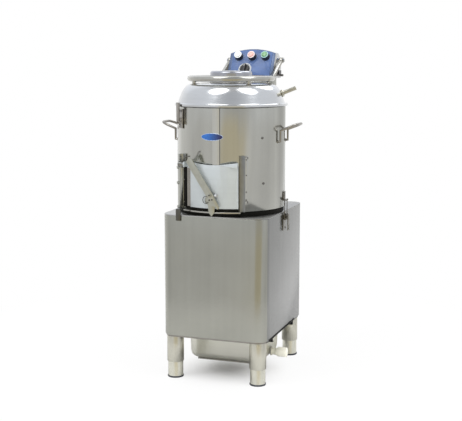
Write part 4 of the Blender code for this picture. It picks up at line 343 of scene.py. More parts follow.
# Finishes of the CAD pieces, with the width in mm of the rounding along their edges.
# A star stands for any ending of a piece's name.
FINISHES = [
    (satin_upright, 0.8, "cabinet_shell rear_panel control_column"),
    (satin_drum, 0.5, "drum_shell"),
    (satin_leg, 0.6, "leg_*"),
    (lit_foot_steel, 0.6, "foot_*"),
    (satin_deck, 0.6, "cabinet_deck"),
    (satin_housing, 0.6, "control_housing"),
    (satin_tray, 0.3, "tray"),
    (polished_lid, 0.6, "lid_shell"),
    (polished_door, 0.5, "door_plate"),
    (lever_steel, 0.5, "door_lever"),
    (inlet_steel, 0.4, "water_inlet"),
    (polished, 0.4, "lid_frame door_sill"),
    (cap_steel, 0.4, "lid_cap"),
    (jamb_steel, 0.4, "door_jamb_*"),
    (hardware_and_shade, 0.4, "drum_handle_* lid_latch_*"),
    (toggle_steel, 0.25, "toggle_*"),
    (polished, 0.3, "spindle motor_pulley"),
    (dull_steel, 0.4, "drum_floor"),
    (cast, 0.8, "bearing_housing spindle_pulley"),
    (black_paint, 0.5, "base_plate tray_rail_*"),
    (rubber, 0.3, "drum_gasket door_seal lid_seal drive_belt"),
    (motor_paint, 1.0, "motor"),
    (blue_film, 0.3, "control_panel"),
    (white_plastic, 0.6, "button_white"),
    (red_plastic, 0.6, "button_red"),
    (green_plastic, 0.6, "button_green"),
    (black_plastic, 0.5, "timer_knob cable_gland drain_pipe"),
    (grey_plastic, 0.5, "tap_body"),
    (cream_plastic, 0.8, "tap_knob"),
    (abrasive, 0.4, "abrasive_disc abrasive_liner"),
]


def softened(piece, width, segments=2):
    """Smooth shading with a small rounding along the sharp edges."""
    for polygon in piece.data.polygons:
        polygon.use_smooth = True
    merged = piece.modifiers.new("weld", "WELD")
    merged.merge_threshold = 0.00001
    bevel = piece.modifiers.new("bevel", "BEVEL")
    bevel.width = width * MM
    bevel.segments = segments
    bevel.limit_method = "ANGLE"
    bevel.angle_limit = radians(32)
    bevel.use_clamp_overlap = True
    bevel.harden_normals = True


def paint_faces(names, finish, chosen):
    """Gives another finish to the faces of these pieces whose middle and normal are chosen."""
    for name in names:
        piece = frame["nodes"][name]
        piece.data.materials.append(finish)
        index = len(piece.data.materials) - 1
        for polygon in piece.data.polygons:
            if chosen(polygon.center, polygon.normal):
                polygon.material_index = index


def on_face(point):
    """Place of a point on the sloping face: across, up and proud of it."""
    offset = point - FACE_FOOT
    return Vector((offset.x, offset.dot(face_up), offset.dot(face_out)))


def face_point(across, up, proud):
    return FACE_FOOT + Vector((across, 0, 0)) + face_up * up + face_out * proud


def is_collar(point, _):
    across, up, proud = on_face(point)
    near = min(hypot(across - step * BUTTON_PITCH, up - BUTTON_RISE) for step in (-1, 0, 1))
    return near < COLLAR_RADIUS + MM and proud > FACE_FRONT + MM / 2


def is_dial(point, _):
    across, up, proud = on_face(point)
    near = hypot(across - KNOB_PLACE[0], up - KNOB_PLACE[1])
    return near < DIAL_RADIUS + MM and proud > FACE_FRONT + MM / 2


def azimuth_of(point):
    return atan2(point.x - DRUM_AXIS.x, DRUM_AXIS.y - point.y)


def finish_frame():
    """Finishes of the CAD pieces, with a second one where a piece shows two."""
    for finish, width, patterns in FINISHES:
        for pattern in patterns.split():
            for name in fnmatch.filter(frame["nodes"], pattern):
                piece = frame["nodes"][name]
                piece.data.materials.clear()
                piece.data.materials.append(finish)
                softened(piece, width)
    paint_faces(("control_panel",), collar_plastic, is_collar)
    paint_faces(("control_panel",), dial_white, is_dial)
    feet = fnmatch.filter(frame["nodes"], "foot_*")
    paint_faces(feet, pad_rubber, lambda point, _: point.z < PAD_HEIGHT + SKIN)
    pin_root = 92.2 * MM
    paint_faces(("control_housing",), polished_lid, lambda point, _: abs(point.x) > pin_root)
    # Painted shade: the left jamb below this height takes dark steel.
    jamb_shade_top = 630 * MM
    paint_faces(("door_jamb_left",), dark_steel_and_shade, lambda point, _: point.z < jamb_shade_top)
    bar_edge = radians(32.6)
    paint_faces(("door_jamb_right",), satin_drum, lambda point, _: azimuth_of(point) > bar_edge)
    seal_start, seal_end = 143.2 * MM, 149.8 * MM
    paint_faces(("tap_body",), seal_and_shadow_grey, lambda point, _: seal_start < point.x < seal_end)
    upright_face = 0.9
    # The cabinet's sides take the darker copy of its steel as painted shade.
    paint_faces(("cabinet_shell",), shaded_side_steel, lambda _, normal: abs(normal.x) > upright_face)
    # The housing's front margins take the dark blue-tinted steel as painted shade.
    paint_faces(("control_housing",), margin_shade_steel, lambda _, normal: normal.dot(face_out) > upright_face)
    facing_front = -0.3
    paint_faces(("base_plate",), hardware_and_shade, lambda _, normal: normal.y < facing_front)
    # Painted light: the left jamb's flank takes the drum's lighter steel, as on a face that is lit.
    flank_start, flank_end = radians(-43.5), radians(-38.5)
    paint_faces(("door_jamb_left",), satin_drum, lambda point, _: (
        point.z > jamb_shade_top and flank_start < azimuth_of(point) < flank_end
    ))


def outward_at(azimuth):
    return Vector((sin(azimuth), -cos(azimuth), 0))


def aside_at(azimuth):
    return Vector((cos(azimuth), sin(azimuth), 0))


def round_drum(azimuth, out, height, across=0.0):
    """A place by its azimuth round the drum, its distance from the axis, its height and a step aside."""
    return DRUM_AXIS + outward_at(azimuth) * out + aside_at(azimuth) * across + UP * height


def in_radians(*degrees):
    return [radians(angle) for angle in degrees]


def in_mm(*pairs):
    """Radii and heights that are given in mm."""
    return [(radius * MM, height * MM) for radius, height in pairs]


surfaces = {}


def seat_on(name, origin, direction):
    """Where a line first meets a CAD piece."""
    if name not in surfaces:
        mesh = frame["nodes"][name].data
        corners = [v.co.copy() for v in mesh.vertices]
        surfaces[name] = BVHTree.FromPolygons(corners, [tuple(p.vertices) for p in mesh.polygons])
    return surfaces[name].ray_cast(origin, direction)[0]


class Shape:
    """Collects the mesh of one fine piece, in the frame's coordinates."""

    def __init__(self):
        self.mesh = bmesh.new()

    def loops(self, loops, cyclic=False):
        """Joins outlines with as many points each in turn, and closes the ends."""
        rows = [[self.mesh.verts.new(point) for point in loop] for loop in loops]
        pairs = list(zip(rows, rows[1:]))
        if cyclic:
            pairs.append((rows[-1], rows[0]))
        count = len(rows[0])
        for first, second in pairs:
            for i in range(count):
                j = (i + 1) % count
                self.mesh.faces.new((first[i], first[j], second[j], second[i]))
        if not cyclic:
            self.mesh.faces.new(rows[0])
            self.mesh.faces.new(rows[-1])
        return self

    def lathe(self, place, direction, profile, steps=24, closed=False):
        """Turns a profile of radii and heights round an axis."""
        turn = direction.to_track_quat("Z", "Y").to_matrix()
        angles = [2 * pi * i / steps for i in range(steps)]
        return self.loops([
            [place + turn @ Vector((radius * cos(a), radius * sin(a), height)) for a in angles]
            for radius, height in profile
        ], cyclic=closed)

    def bead(self, place, direction, radius, thickness, steps=28):
        """A round ring, such as a weld bead or an O-ring."""
        turns = [2 * pi * i / 10 for i in range(10)]
        profile = [(radius + thickness * cos(a), thickness * sin(a)) for a in turns]
        return self.lathe(place, direction, profile, steps, closed=True)

    def screw(self, place, direction, radius, height, sides=24):
        """A domed screw head on its washer, with a hexagon socket."""
        washer = height * 0.3
        self.lathe(place, direction, [
            (radius * 1.35, -SKIN), (radius * 1.35, washer * 0.7), (radius * 1.25, washer), (radius, washer),
        ], sides)
        socket = radius * 0.42
        self.lathe(place, direction, [
            (radius, washer), (radius * 0.98, height * 0.6), (radius * 0.8, height * 0.9),
            (radius * 0.55, height), (socket, height), (socket * 0.98, height * 0.5),
        ], sides)
        return self

    def rivet(self, place, direction, radius, height):
        """A low domed rivet head."""
        return self.lathe(place, direction, [
            (radius, -SKIN), (radius, height * 0.3), (radius * 0.85, height * 0.7),
            (radius * 0.5, height * 0.95), (radius * 0.1, height),
        ], 16)

    def drum_rivet(self, azimuth, out, height, radius, rise, across=0.0):
        """A rivet that points away from the drum's axis."""
        return self.rivet(round_drum(azimuth, out, height, across), outward_at(azimuth), radius, rise)

    def tube(self, points, radius, steps=10, cyclic=False):
        """A wire through points."""
        points = [Vector(point) for point in points]
        count = len(points)
        loops = []
        normal = None
        for i, point in enumerate(points):
            before = points[i - 1] if i or cyclic else point
            after = points[(i + 1) % count] if i + 1 < count or cyclic else point
            along = (after - before).normalized()
            normal = along.orthogonal() if normal is None else normal - along * normal.dot(along)
            normal.normalize()
            side = along.cross(normal)
            loops.append([
                point + (normal * cos(a) + side * sin(a)) * radius
                for a in (2 * pi * k / steps for k in range(steps))
            ])
        return self.loops(loops, cyclic=cyclic)

    def prism(self, outline, depth):
        """A flat outline given a thickness."""
        outline = [Vector(point) for point in outline]
        return self.loops([outline, [point + depth for point in outline]])

    def bent(self, azimuths, heights, inner, outer, columns=10):
        """A patch of sheet bent round the drum, between two azimuths and two heights."""
        start, end = azimuths
        low, high = heights
        return self.loops([
            [round_drum(azimuth, out, height) for out, height in (
                (inner, low), (outer, low), (outer, high), (inner, high))]
            for azimuth in (start + (end - start) * i / columns for i in range(columns + 1))
        ])

    def done(self, name, finish, body, width=0.15):
        """Makes the piece and hangs it on its body."""
        bmesh.ops.recalc_face_normals(self.mesh, faces=self.mesh.faces)
        data = bpy.data.meshes.new(name)
        self.mesh.to_mesh(data)
        self.mesh.free()
        made = bpy.data.objects.new(name, data)
        scene.collection.objects.link(made)
        data.materials.append(finish)
        softened(made, width)
        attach(made, body)
        return made


def smooth_curve(points, steps):
    """Points on a smooth curve through the given ones."""
    ends = [points[0] * 2 - points[1], *points, points[-1] * 2 - points[-2]]
    made = []
    for i in range(1, len(ends) - 2):
        before, start, end, after = ends[i - 1:i + 3]
        for step in range(steps):
            t = step / steps
            made.append(0.5 * (
                2 * start + (end - before) * t + (2 * before - 5 * start + 4 * end - after) * t ** 2
                + (3 * start - before - 3 * end + after) * t ** 3
            ))
    return [*made, points[-1]]


def badge():
    """Bare oval enamel plate with a silver edge, bent round the drum."""
    middle = radians(-1.1)
    half_turn = radians(11.6)
    half_height = 12.6 * MM
    centre = 894.5 * MM

    def oval(share, proud, steps=48):
        return [
            round_drum(
                middle + half_turn * share * cos(a), DRUM_RADIUS + proud,
                centre + half_height * share * sin(a),
            )
            for a in (2 * pi * i / steps for i in range(steps))
        ]

    dome = [(1.0, -0.2), (1.0, 0.9), (0.97, 1.5), (0.8, 2.0), (0.5, 2.5), (0.2, 2.75), (0.03, 2.8)]
    plate = Shape().loops([oval(share, proud * MM) for share, proud in dome])
    plate.done("badge_plate", badge_blue, "machine")
    rim = Shape().tube(oval(1.0, 0.8 * MM), 1.0 * MM, 10, cyclic=True)
    rim.done("badge_rim", badge_silver, "machine")


def drum_details():
    """Lapped seam down the front, lighter as a painted highlight and edged with a black line as painted
    shadow, screws, and wire clips beside the right jamb.
    """
    low, high = 796 * MM, DRUM_TOP - 3 * MM
    strip = Shape().bent(in_radians(-0.5, 7.0), (low, high), DRUM_RADIUS - SKIN, DRUM_RADIUS + 0.7 * MM, 6)
    strip.done("drum_seam", seam_highlight_steel, "machine", 0.3)
    # Painted shadow: a black strip flush on the drum along the seam's edge.
    shadow = Shape().bent(in_radians(7.05, 7.6), (low, high), DRUM_RADIUS - SKIN, DRUM_RADIUS + SKIN, 2)
    shadow.done("drum_seam_shadow", print_and_shadow_black, "machine", 0.02)
    screws = Shape()
    for azimuth, height in ((52.6, 889.7), (54.1, 727.1), (-127.4, 889.7), (-125.9, 727.1)):
        turn = radians(azimuth)
        screws.screw(round_drum(turn, DRUM_RADIUS, height * MM), outward_at(turn), 3.6 * MM, 3 * MM)
    screws.done("drum_screws", screw_steel, "machine")
    clips = Shape()
    wire, drop, out = 1.1 * MM, 7 * MM, DRUM_RADIUS + 4.6 * MM
    for height, first, last in ((825, 28.9, 35.7), (668, 32.2, 35.8)):
        start, end = in_radians(first, last)
        foot = height * MM
        points = [round_drum(start + (end - start) * i / 5, out, foot) for i in range(6)]
        points += [
            round_drum(end, out, foot - drop * 0.5), round_drum(end, out, foot - drop),
            round_drum(end, DRUM_RADIUS, foot - drop * 1.1),
        ]
        clips.tube(points, wire, 8)
    clips.done("jamb_clips", screw_steel, "machine", 0.05)


def jamb_details():
    """Rivets of the jambs; beside the left one a dark line and a black rubber strip in its gap as painted
    shadow, a dark sheet on the door's edge as painted shade, and a dark arc above the lever's pivot as
    painted shadow.
    """
    rivets = Shape()
    jamb_out = DRUM_RADIUS + 3.8 * MM
    for azimuth, radius, heights in ((34.2, 2.6, (815, 760, 700, 672)), (-37.4, 2.4, (812, 735, 655))):
        for height in heights:
            rivets.drum_rivet(radians(azimuth), jamb_out, height * MM, radius * MM, 1.6 * MM)
    rivets.done("jamb_screws", screw_steel, "machine")
    low, high = 628 * MM, 802 * MM
    # Painted shadow: a dark tube along the left jamb's outer edge.
    line_turn, line_out = radians(-40.6), 214 * MM
    line = [round_drum(line_turn, line_out, height) for height in (low, high)]
    Shape().tube(line, 2.3 * MM, 10).done("jamb_shadow_line", dark_steel_and_shade, "machine", 0.05)
    # Partly a seal and partly painted shadow: a black rubber strip in the gap beside the left jamb.
    gap_heights = low + 10 * MM, high - 12 * MM
    gap = Shape().bent(in_radians(-38.4, -34.2), gap_heights, 203.6 * MM, 204.6 * MM, 4)
    gap.done("jamb_gap_shadow", rubber, "machine", 0.1)
    # Painted shade: a dark steel sheet along the door's left edge.
    sheet_heights = 642 * MM, 786 * MM
    edge_sheet = Shape().bent(in_radians(-32.2, -26.8), sheet_heights, 202.8 * MM, 203.8 * MM, 4)
    edge_sheet.done("door_edge_shade", hardware_and_shade, "door", 0.2)
    # Painted shadow: a dark tube along the dark arc above the lever's pivot.
    hook = (
        (-113, -262, 783), (-111.5, -268, 794), (-108.5, -270, 806), (-103, -270, 815),
        (-96, -270, 821.5), (-87, -270, 825.5), (-79, -270, 826),
    )
    points = smooth_curve([Vector(point) * MM for point in hook], 4)
    Shape().tube(points, 2.4 * MM, 12).done("door_pivot_shadow", dark_steel_and_shade, "machine", 0.05)


def catch_details():
    """Wire ring, rivets and domed nut at the catch on the foot of the door's lever."""
    ahead = Vector((0, 1, 0))
    before_door = -0.4

    def on_door(name, x, z):
        return seat_on(name, Vector((x * MM, before_door, z * MM)), ahead)

    ring_x, ring_y, ring_z = -19 * MM, -272.5 * MM, 673 * MM
    ring_wide, ring_high = 11.5 * MM, 13 * MM
    ring = []
    for index in range(19):
        turn = radians(50 + 260 * index / 18)
        x, z = ring_x + ring_wide * cos(turn), ring_z + ring_high * sin(turn)
        ring.append(Vector((x, ring_y, z)))
    Shape().tube(ring, 1.2 * MM, 10).done("catch_ring", dark_steel_and_shade, "door", 0.05)
    rivets = Shape()
    for x, z in ((-4.9, 690.3), (-6.1, 672.4), (3.6, 674.3)):
        place = on_door("door_lever", x, z)
        if place is not None:
            rivets.rivet(place, -ahead, 3.2 * MM, 2.2 * MM)
    rivets.done("catch_rivets", dark_steel_and_shade, "door")
    nut = Shape().lathe(on_door("door_plate", 14, 688.5), -ahead, in_mm(
        (7, -SINK), (7, 1.6), (5.6, 2), (5.6, 9), (5, 11.5), (3.6, 13.4), (1.6, 14.3), (0.2, 14.5),
    ), 28)
    nut.done("catch_nut", polished_lid, "door", 0.1)


def toggle_details():
    """Rivets and pin heads of the two toggle latches."""
    base_out = DRUM_RADIUS + 2.3 * MM
    axis_out, axis_height = DRUM_RADIUS + 12 * MM, 596 * MM
    behind_axis, rivet_step, head_step = 15 * MM, 16 * MM, 11.9 * MM
    along = Vector((0, 1, 0))
    for name, side in SIDES:
        turn = radians(90) * side
        middle = side * behind_axis
        fixed = Shape()
        for step in (-1, 1):
            for height in (548, 600):
                across = middle + step * rivet_step
                fixed.drum_rivet(turn, base_out, height * MM, 2.6 * MM, 1.6 * MM, across)
        for height in (672, 680):
            fixed.drum_rivet(turn, base_out, height * MM, 2.4 * MM, 1.8 * MM, middle)
        fixed.done(f"toggle_rivets_{name}", screw_steel, "machine")
        heads = Shape()
        for step in (-1, 1):
            place = DRUM_AXIS + Vector((side * axis_out, behind_axis + step * head_step, axis_height))
            heads.rivet(place, along * step, 3.0 * MM, 1.4 * MM)
        heads.done(f"toggle_pin_heads_{name}", screw_steel, f"{name}_toggle_lever")


def latch_details():
    """Rivets of the lid latch's base and the heads of its pin."""
    turn = radians(-45)
    base_out, pin_out = DRUM_RADIUS + 3.3 * MM, DRUM_RADIUS + 9 * MM
    rivets = Shape()
    for across in (-9, 9):
        rivets.drum_rivet(turn, base_out, 981 * MM, 2.4 * MM, 1.5 * MM, across * MM)
    for height in (924, 931):
        rivets.drum_rivet(turn, base_out, height * MM, 2.2 * MM, 1.5 * MM)
    for step in (-1, 1):
        place = round_drum(turn, pin_out, 945.6 * MM, step * 14.6 * MM)
        rivets.rivet(place, aside_at(turn) * step, 3.2 * MM, 1.6 * MM)
    rivets.done("latch_rivets", screw_steel, "machine")


def handle_details():
    """Weld beads where the drum's handles stand on it."""
    beside_drum = 0.3
    for name, side in SIDES:
        feet = Shape()
        for step in (-1, 1):
            origin = Vector((side * beside_drum, DRUM_AXIS.y + step * 47 * MM, 872.6 * MM))
            place = seat_on("drum_shell", origin, Vector((-side, 0, 0)))
            feet.bead(place + Vector((side * 0.9 * MM, 0, 0)), Vector((side, 0, 0)), 5.4 * MM, 1.5 * MM, 20)
        feet.done(f"handle_welds_{name}", weld, "machine", 0.05)


def smooth_lid():
    """The lid's dome with its brim, spun in fine steps from the form of the CAD lid."""
    rise, wall = 83 * MM, 1.8 * MM
    shares = (
        (0.03, 1.0), (0.3, 0.998), (0.58, 0.988), (0.73, 0.958), (0.805, 0.898), (0.865, 0.771),
        (0.91, 0.61), (0.94, 0.43), (0.965, 0.265), (0.983, 0.14),
    )
    dome = smooth_curve([Vector((across * DRUM_RADIUS, up * rise)) for across, up in shares], 6)
    brim = DRUM_RADIUS + 8.5 * MM
    foot, brim_top = 0.3 * MM, 8.3 * MM
    outer = dome + [
        Vector((197.6 * MM, 9.6 * MM)), Vector((199 * MM, 8.5 * MM)), Vector((201 * MM, brim_top)),
        Vector((brim - 1.6 * MM, brim_top)), Vector((brim - 0.5 * MM, brim_top - 0.5 * MM)),
        Vector((brim, brim_top - 1.6 * MM)), Vector((brim, foot)),
    ]
    inner = [Vector((brim - wall, foot)), Vector((brim - wall, brim_top - wall - 0.4 * MM)),
             Vector((brim - wall - 0.4 * MM, brim_top - wall)), Vector((200 * MM, brim_top - wall)),
             Vector((196.6 * MM, brim_top - wall + 0.6 * MM)), Vector((195.2 * MM, 10.4 * MM))]
    inner += [Vector((max(p.x - wall, MM), p.y - wall * 0.6)) for p in reversed(dome)]
    foot_place = DRUM_AXIS + UP * DRUM_TOP
    made = Shape().lathe(foot_place, UP, [(p.x, p.y) for p in outer + inner], 160)
    piece = made.done("lid_dome", polished_lid, "lid", 0.05)
    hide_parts("lid_shell")


def lid_details():
    """Weld beads of the posts and the cap, and the disc on the cap."""
    above_lid = 1.2
    posts = Shape()
    for azimuth in (43, -43, 137, 223):
        turn = radians(azimuth)
        above = round_drum(turn, 152 * MM, above_lid)
        foot = seat_on("lid_shell", above, -UP)
        away = seat_on("lid_shell", above + outward_at(turn) * 2 * MM, -UP)
        slope = (away - foot).normalized()
        normal = slope.cross(aside_at(turn))
        normal = normal if normal.z > 0 else -normal
        posts.bead(foot + normal * 0.5 * MM, normal, 8.0 * MM, 1.6 * MM, 24)
    posts.done("lid_post_welds", weld, "lid", 0.05)
    cap_foot = DRUM_AXIS + UP * 1082.2 * MM
    Shape().bead(cap_foot, UP, 78.6 * MM, 1.3 * MM, 72).done("lid_cap_weld", weld, "lid", 0.05)
    top = DRUM_AXIS + UP * 1123.9 * MM
    rim = Shape().lathe(top, UP, in_mm(
        (34, -SINK), (34, 0.6), (32.5, 1.2), (27, 1.2), (26, 0.5), (3, 0.4),
    ), 48)
    rim.done("lid_cap_disc", polished_lid, "lid", 0.2)


def inlet_details():
    """Bead round the mouth of the water inlet."""
    mesh = frame["nodes"]["water_inlet"].data
    outermost = max(v.co.x for v in mesh.vertices)
    mouth = [p for p in mesh.polygons if p.center.x > outermost - 12 * MM]
    heading = outward_at(radians(103.5))

    def squareness(polygon):
        """How squarely a face looks along the inlet, and nothing for faces that aren't its end."""
        along = polygon.normal.dot(heading)
        return along * (polygon.normal.z > 0.2) * (along < 0.98)

    end = max(mouth, key=squareness)
    axis = end.normal.copy()
    rim = [v.co for v in mesh.vertices if v.co.dot(axis) > end.center.dot(axis) - 0.2 * MM]
    centre = sum(rim, Vector()) / len(rim)
    bead = Shape().bead(centre - axis * 1.2 * MM, axis, 7.0 * MM, 0.9 * MM, 28)
    bead.done("inlet_bead", inlet_steel, "lid", 0.05)


def side_plate(side, start, thickness, outline):
    """A sheet across X that starts at a distance from the middle, with its outline in mm along Y and Z."""
    corners = [(side * start, y * MM, z * MM) for y, z in outline]
    return Shape().prism(corners, Vector((side * thickness, 0, 0)))


def hinge_details():
    """Plates, end caps, stop pins and stop blocks behind the lid's arms, and the arms' webs, with dark tubes
    along the arms' edges as painted shade.
    """
    hinge_y, hinge_z = 238.9 * MM, 1162.6 * MM
    stop_y, stop_z = 246.4 * MM, 1105 * MM
    housing_side, stop_side, cap_side, web_side = 92.3 * MM, 95 * MM, 116.4 * MM, 93 * MM
    arm_middle, arm_half = 105 * MM, 7.8 * MM
    arm_front, arm_back = (124 * MM, 1098.6 * MM), (230 * MM, 1157.6 * MM)
    for name, side in SIDES:
        outward = Vector((side, 0, 0))
        plate = side_plate(side, housing_side, 3 * MM, (
            (246, 1158), (262, 1156), (270, 1146), (262, 1128), (256, 1104), (241, 1102), (244, 1126),
            (242, 1146),
        ))
        plate.done(f"hinge_plate_{name}", satin_housing, "machine", 0.6)
        cap = Shape().lathe(Vector((side * cap_side, hinge_y, hinge_z)), outward, in_mm(
            (6.4, -SINK), (6.4, 0.5), (5.6, 1), (3.4, 1.3), (0.4, 1.4),
        ), 24)
        cap.done(f"hinge_cap_{name}", polished, "machine")
        stop = Shape().lathe(Vector((side * stop_side, stop_y, stop_z)), outward, in_mm(
            (4.5, -2), (4.5, 15), (3.9, 16.4), (1, 16.6),
        ), 20)
        stop.done(f"lid_stop_{name}", screw_steel, "machine")
        block = side_plate(side, housing_side, 8 * MM, ((226, 1108), (256, 1108), (258, 1124), (230, 1124)))
        block.done(f"lid_stop_block_{name}", black_plastic, "machine", 0.8)
        web = side_plate(side, web_side, 6 * MM, ((146, 1111), (204, 1143), (204, 1122), (150, 1109)))
        web.done(f"arm_web_{name}", black_plastic, "lid", 0.4)
        # Painted shade: dark tubes along both edges of each arm.
        edges = Shape()
        for step in (-1, 1):
            x = side * arm_middle + step * arm_half
            edges.tube([(x, *arm_front), (x, *arm_back)], 1.5 * MM, 8)
        edges.done(f"arm_edge_shadows_{name}", hardware_and_shade, "lid", 0.05)


def panel_details():
    """Rims and bases of the buttons' collars, the dial's marks and edge, the knob's line and grips."""
    rims = (("white", -1, white_plastic), ("red", 0, pale_red_rim), ("green", 1, pale_green_rim))
    for name, step, finish in rims:
        foot = face_point(step * BUTTON_PITCH, BUTTON_RISE, FACE_FRONT + COLLAR_HEIGHT)
        rim = Shape().lathe(foot, face_out, in_mm(
            (11.1, -0.1), (14.9, -0.1), (14.9, 0.7), (14.2, 1.6), (12.4, 2.2), (11.1, 1.8),
        ), 36, closed=True)
        rim.done(f"button_rim_{name}", finish, "machine")
        root = face_point(step * BUTTON_PITCH, BUTTON_RISE, FACE_FRONT)
        base = Shape().lathe(root, face_out, in_mm(
            (14.9, -SINK), (17.2, -SINK), (17.2, 1.0), (16.4, 1.8), (14.9, 2.0),
        ), 36, closed=True)
        base.done(f"collar_base_{name}", collar_plastic, "machine")

    across, up = KNOB_PLACE
    dial_front = FACE_FRONT + DIAL_THICKNESS
    first, last, count = radians(-140), radians(140), 5
    ticks = Shape()
    for index in range(4 * count + 1):
        turn = first + (last - first) * index / (4 * count)
        outer, inner = (24.4, 23.2) if index % 4 else (24.4, 22.6)
        half = 0.22 * MM if index % 4 else 0.4 * MM
        along = Vector((sin(turn), cos(turn)))
        side = Vector((along.y, -along.x)) * half
        corners = [along * outer * MM + side, along * outer * MM - side,
                   along * inner * MM - side, along * inner * MM + side]
        outline = [face_point(across + c.x, up + c.y, dial_front - SKIN) for c in corners]
        ticks.prism(outline, face_out * 0.3 * MM)
    ticks.done("dial_ticks", print_and_shadow_black, "machine", 0.02)
    ring = Shape().lathe(face_point(across, up, dial_front), face_out, in_mm(
        (24.6, -2), (25.8, -2), (25.8, 0.4), (25.2, 0.9), (24.6, 0.5),
    ), 48, closed=True)
    ring.done("dial_edge", white_plastic, "machine", 0.1)

    numbers = Shape()
    number_radius = 20.9 * MM
    for index in range(count + 1):
        turn = first + (last - first) * index / count
        data = bpy.data.curves.new("number", "FONT")
        data.body = str(index)
        data.size = 3.6 * MM
        data.extrude = 0.12 * MM
        data.align_x = "CENTER"
        data.align_y = "CENTER"
        text = bpy.data.objects.new("number", data)
        scene.collection.objects.link(text)
        mesh = bpy.data.meshes.new_from_object(text.evaluated_get(bpy.context.evaluated_depsgraph_get()))
        aside, rise = number_radius * sin(turn), number_radius * cos(turn)
        place = face_point(across + aside, up + rise, dial_front)
        mesh.transform(Matrix.Translation(place) @ Matrix.Rotation(pi / 2 - FACE_TILT, 4, "X"))
        numbers.mesh.from_mesh(mesh)
        bpy.data.objects.remove(text)
        bpy.data.meshes.remove(mesh)
    numbers.done("dial_numbers", print_and_shadow_black, "machine", 0.01)

    top = FACE_FRONT + 19.4 * MM
    grip_count, grip_radius = 24, 18.9 * MM
    outline = [
        face_point(across + x * MM, up + y * MM, top - SKIN)
        for x, y in ((-0.7, 4), (0.7, 4), (0.7, 16), (-0.7, 16))
    ]
    Shape().prism(outline, face_out * 0.4 * MM).done("knob_pointer", white_plastic, "timer", 0.05)
    skirt = Shape()
    for index in range(grip_count):
        turn = 2 * pi * index / grip_count
        aside, rise = grip_radius * sin(turn), grip_radius * cos(turn)
        foot = face_point(across + aside, up + rise, dial_front)
        skirt.lathe(foot, face_out, in_mm((0.9, 0.6), (0.9, 4.6), (0.4, 5.2)), 8)
    skirt.done("knob_grips", black_plastic, "timer", 0.05)


def tap_details():
    """O-ring, collar and knob face of the tray's tap, and dark strips along the foot of the tray's sides as
    painted shadow.
    """
    axis = Vector((1, 0, 0))
    centre = Vector((0, -14.6 * MM, 67 * MM))
    ring = Shape().bead(centre + axis * 149.4 * MM, axis, 14.4 * MM, 1.5 * MM, 32)
    ring.done("tap_ring", rubber, "peel_tray", 0.05)
    collar = Shape().lathe(centre, axis, in_mm(
        (10.4, 168.6), (14.6, 168.6), (15, 169.4), (15, 172.6), (14.4, 173.6), (10.4, 173.6),
    ), 36, closed=True)
    collar.done("tap_collar", cream_plastic, "peel_tray", 0.2)
    face = Shape().lathe(centre, axis, in_mm(
        (12.5, 208.4), (12.5, 209.5), (11.5, 210.4), (5, 210.8), (0.6, 210.9),
    ), 36)
    face.done("tap_knob_face", cream_plastic, "tap", 0.2)
    # Painted shadow: dark strips under the foot of the tray's walls.
    shadow_strips = Shape()
    low, high, half = 40.4 * MM, 44.8 * MM, 112 * MM
    for side in (-1, 1):
        wall = seat_on("tray", Vector((0, side * 0.4, 48 * MM)), Vector((0, -side, 0))).y
        outer, inner = wall - side * 3 * MM, wall - side * 12 * MM
        outline = [(-half, outer, low), (half, outer, low), (half, outer, high), (-half, outer, high)]
        shadow_strips.prism(outline, Vector((0, inner - outer, 0)))
    shadow_strips.done("tray_shadow_strips", seal_and_shadow_grey, "peel_tray", 0.6)


def drive_details():
    """Hub nut on the abrasive disc."""
    above_disc = 0.9
    top = seat_on("abrasive_disc", DRUM_AXIS + UP * above_disc, -UP)
    nut = Shape().lathe(top, UP, in_mm(
        (24, -SINK), (24, 2.4), (22.5, 3.4), (14, 3.6), (12, 9), (8, 12.5), (2, 13.6),
    ), 36)
    nut.done("disc_hub_cap", polished, "rotor", 0.3)


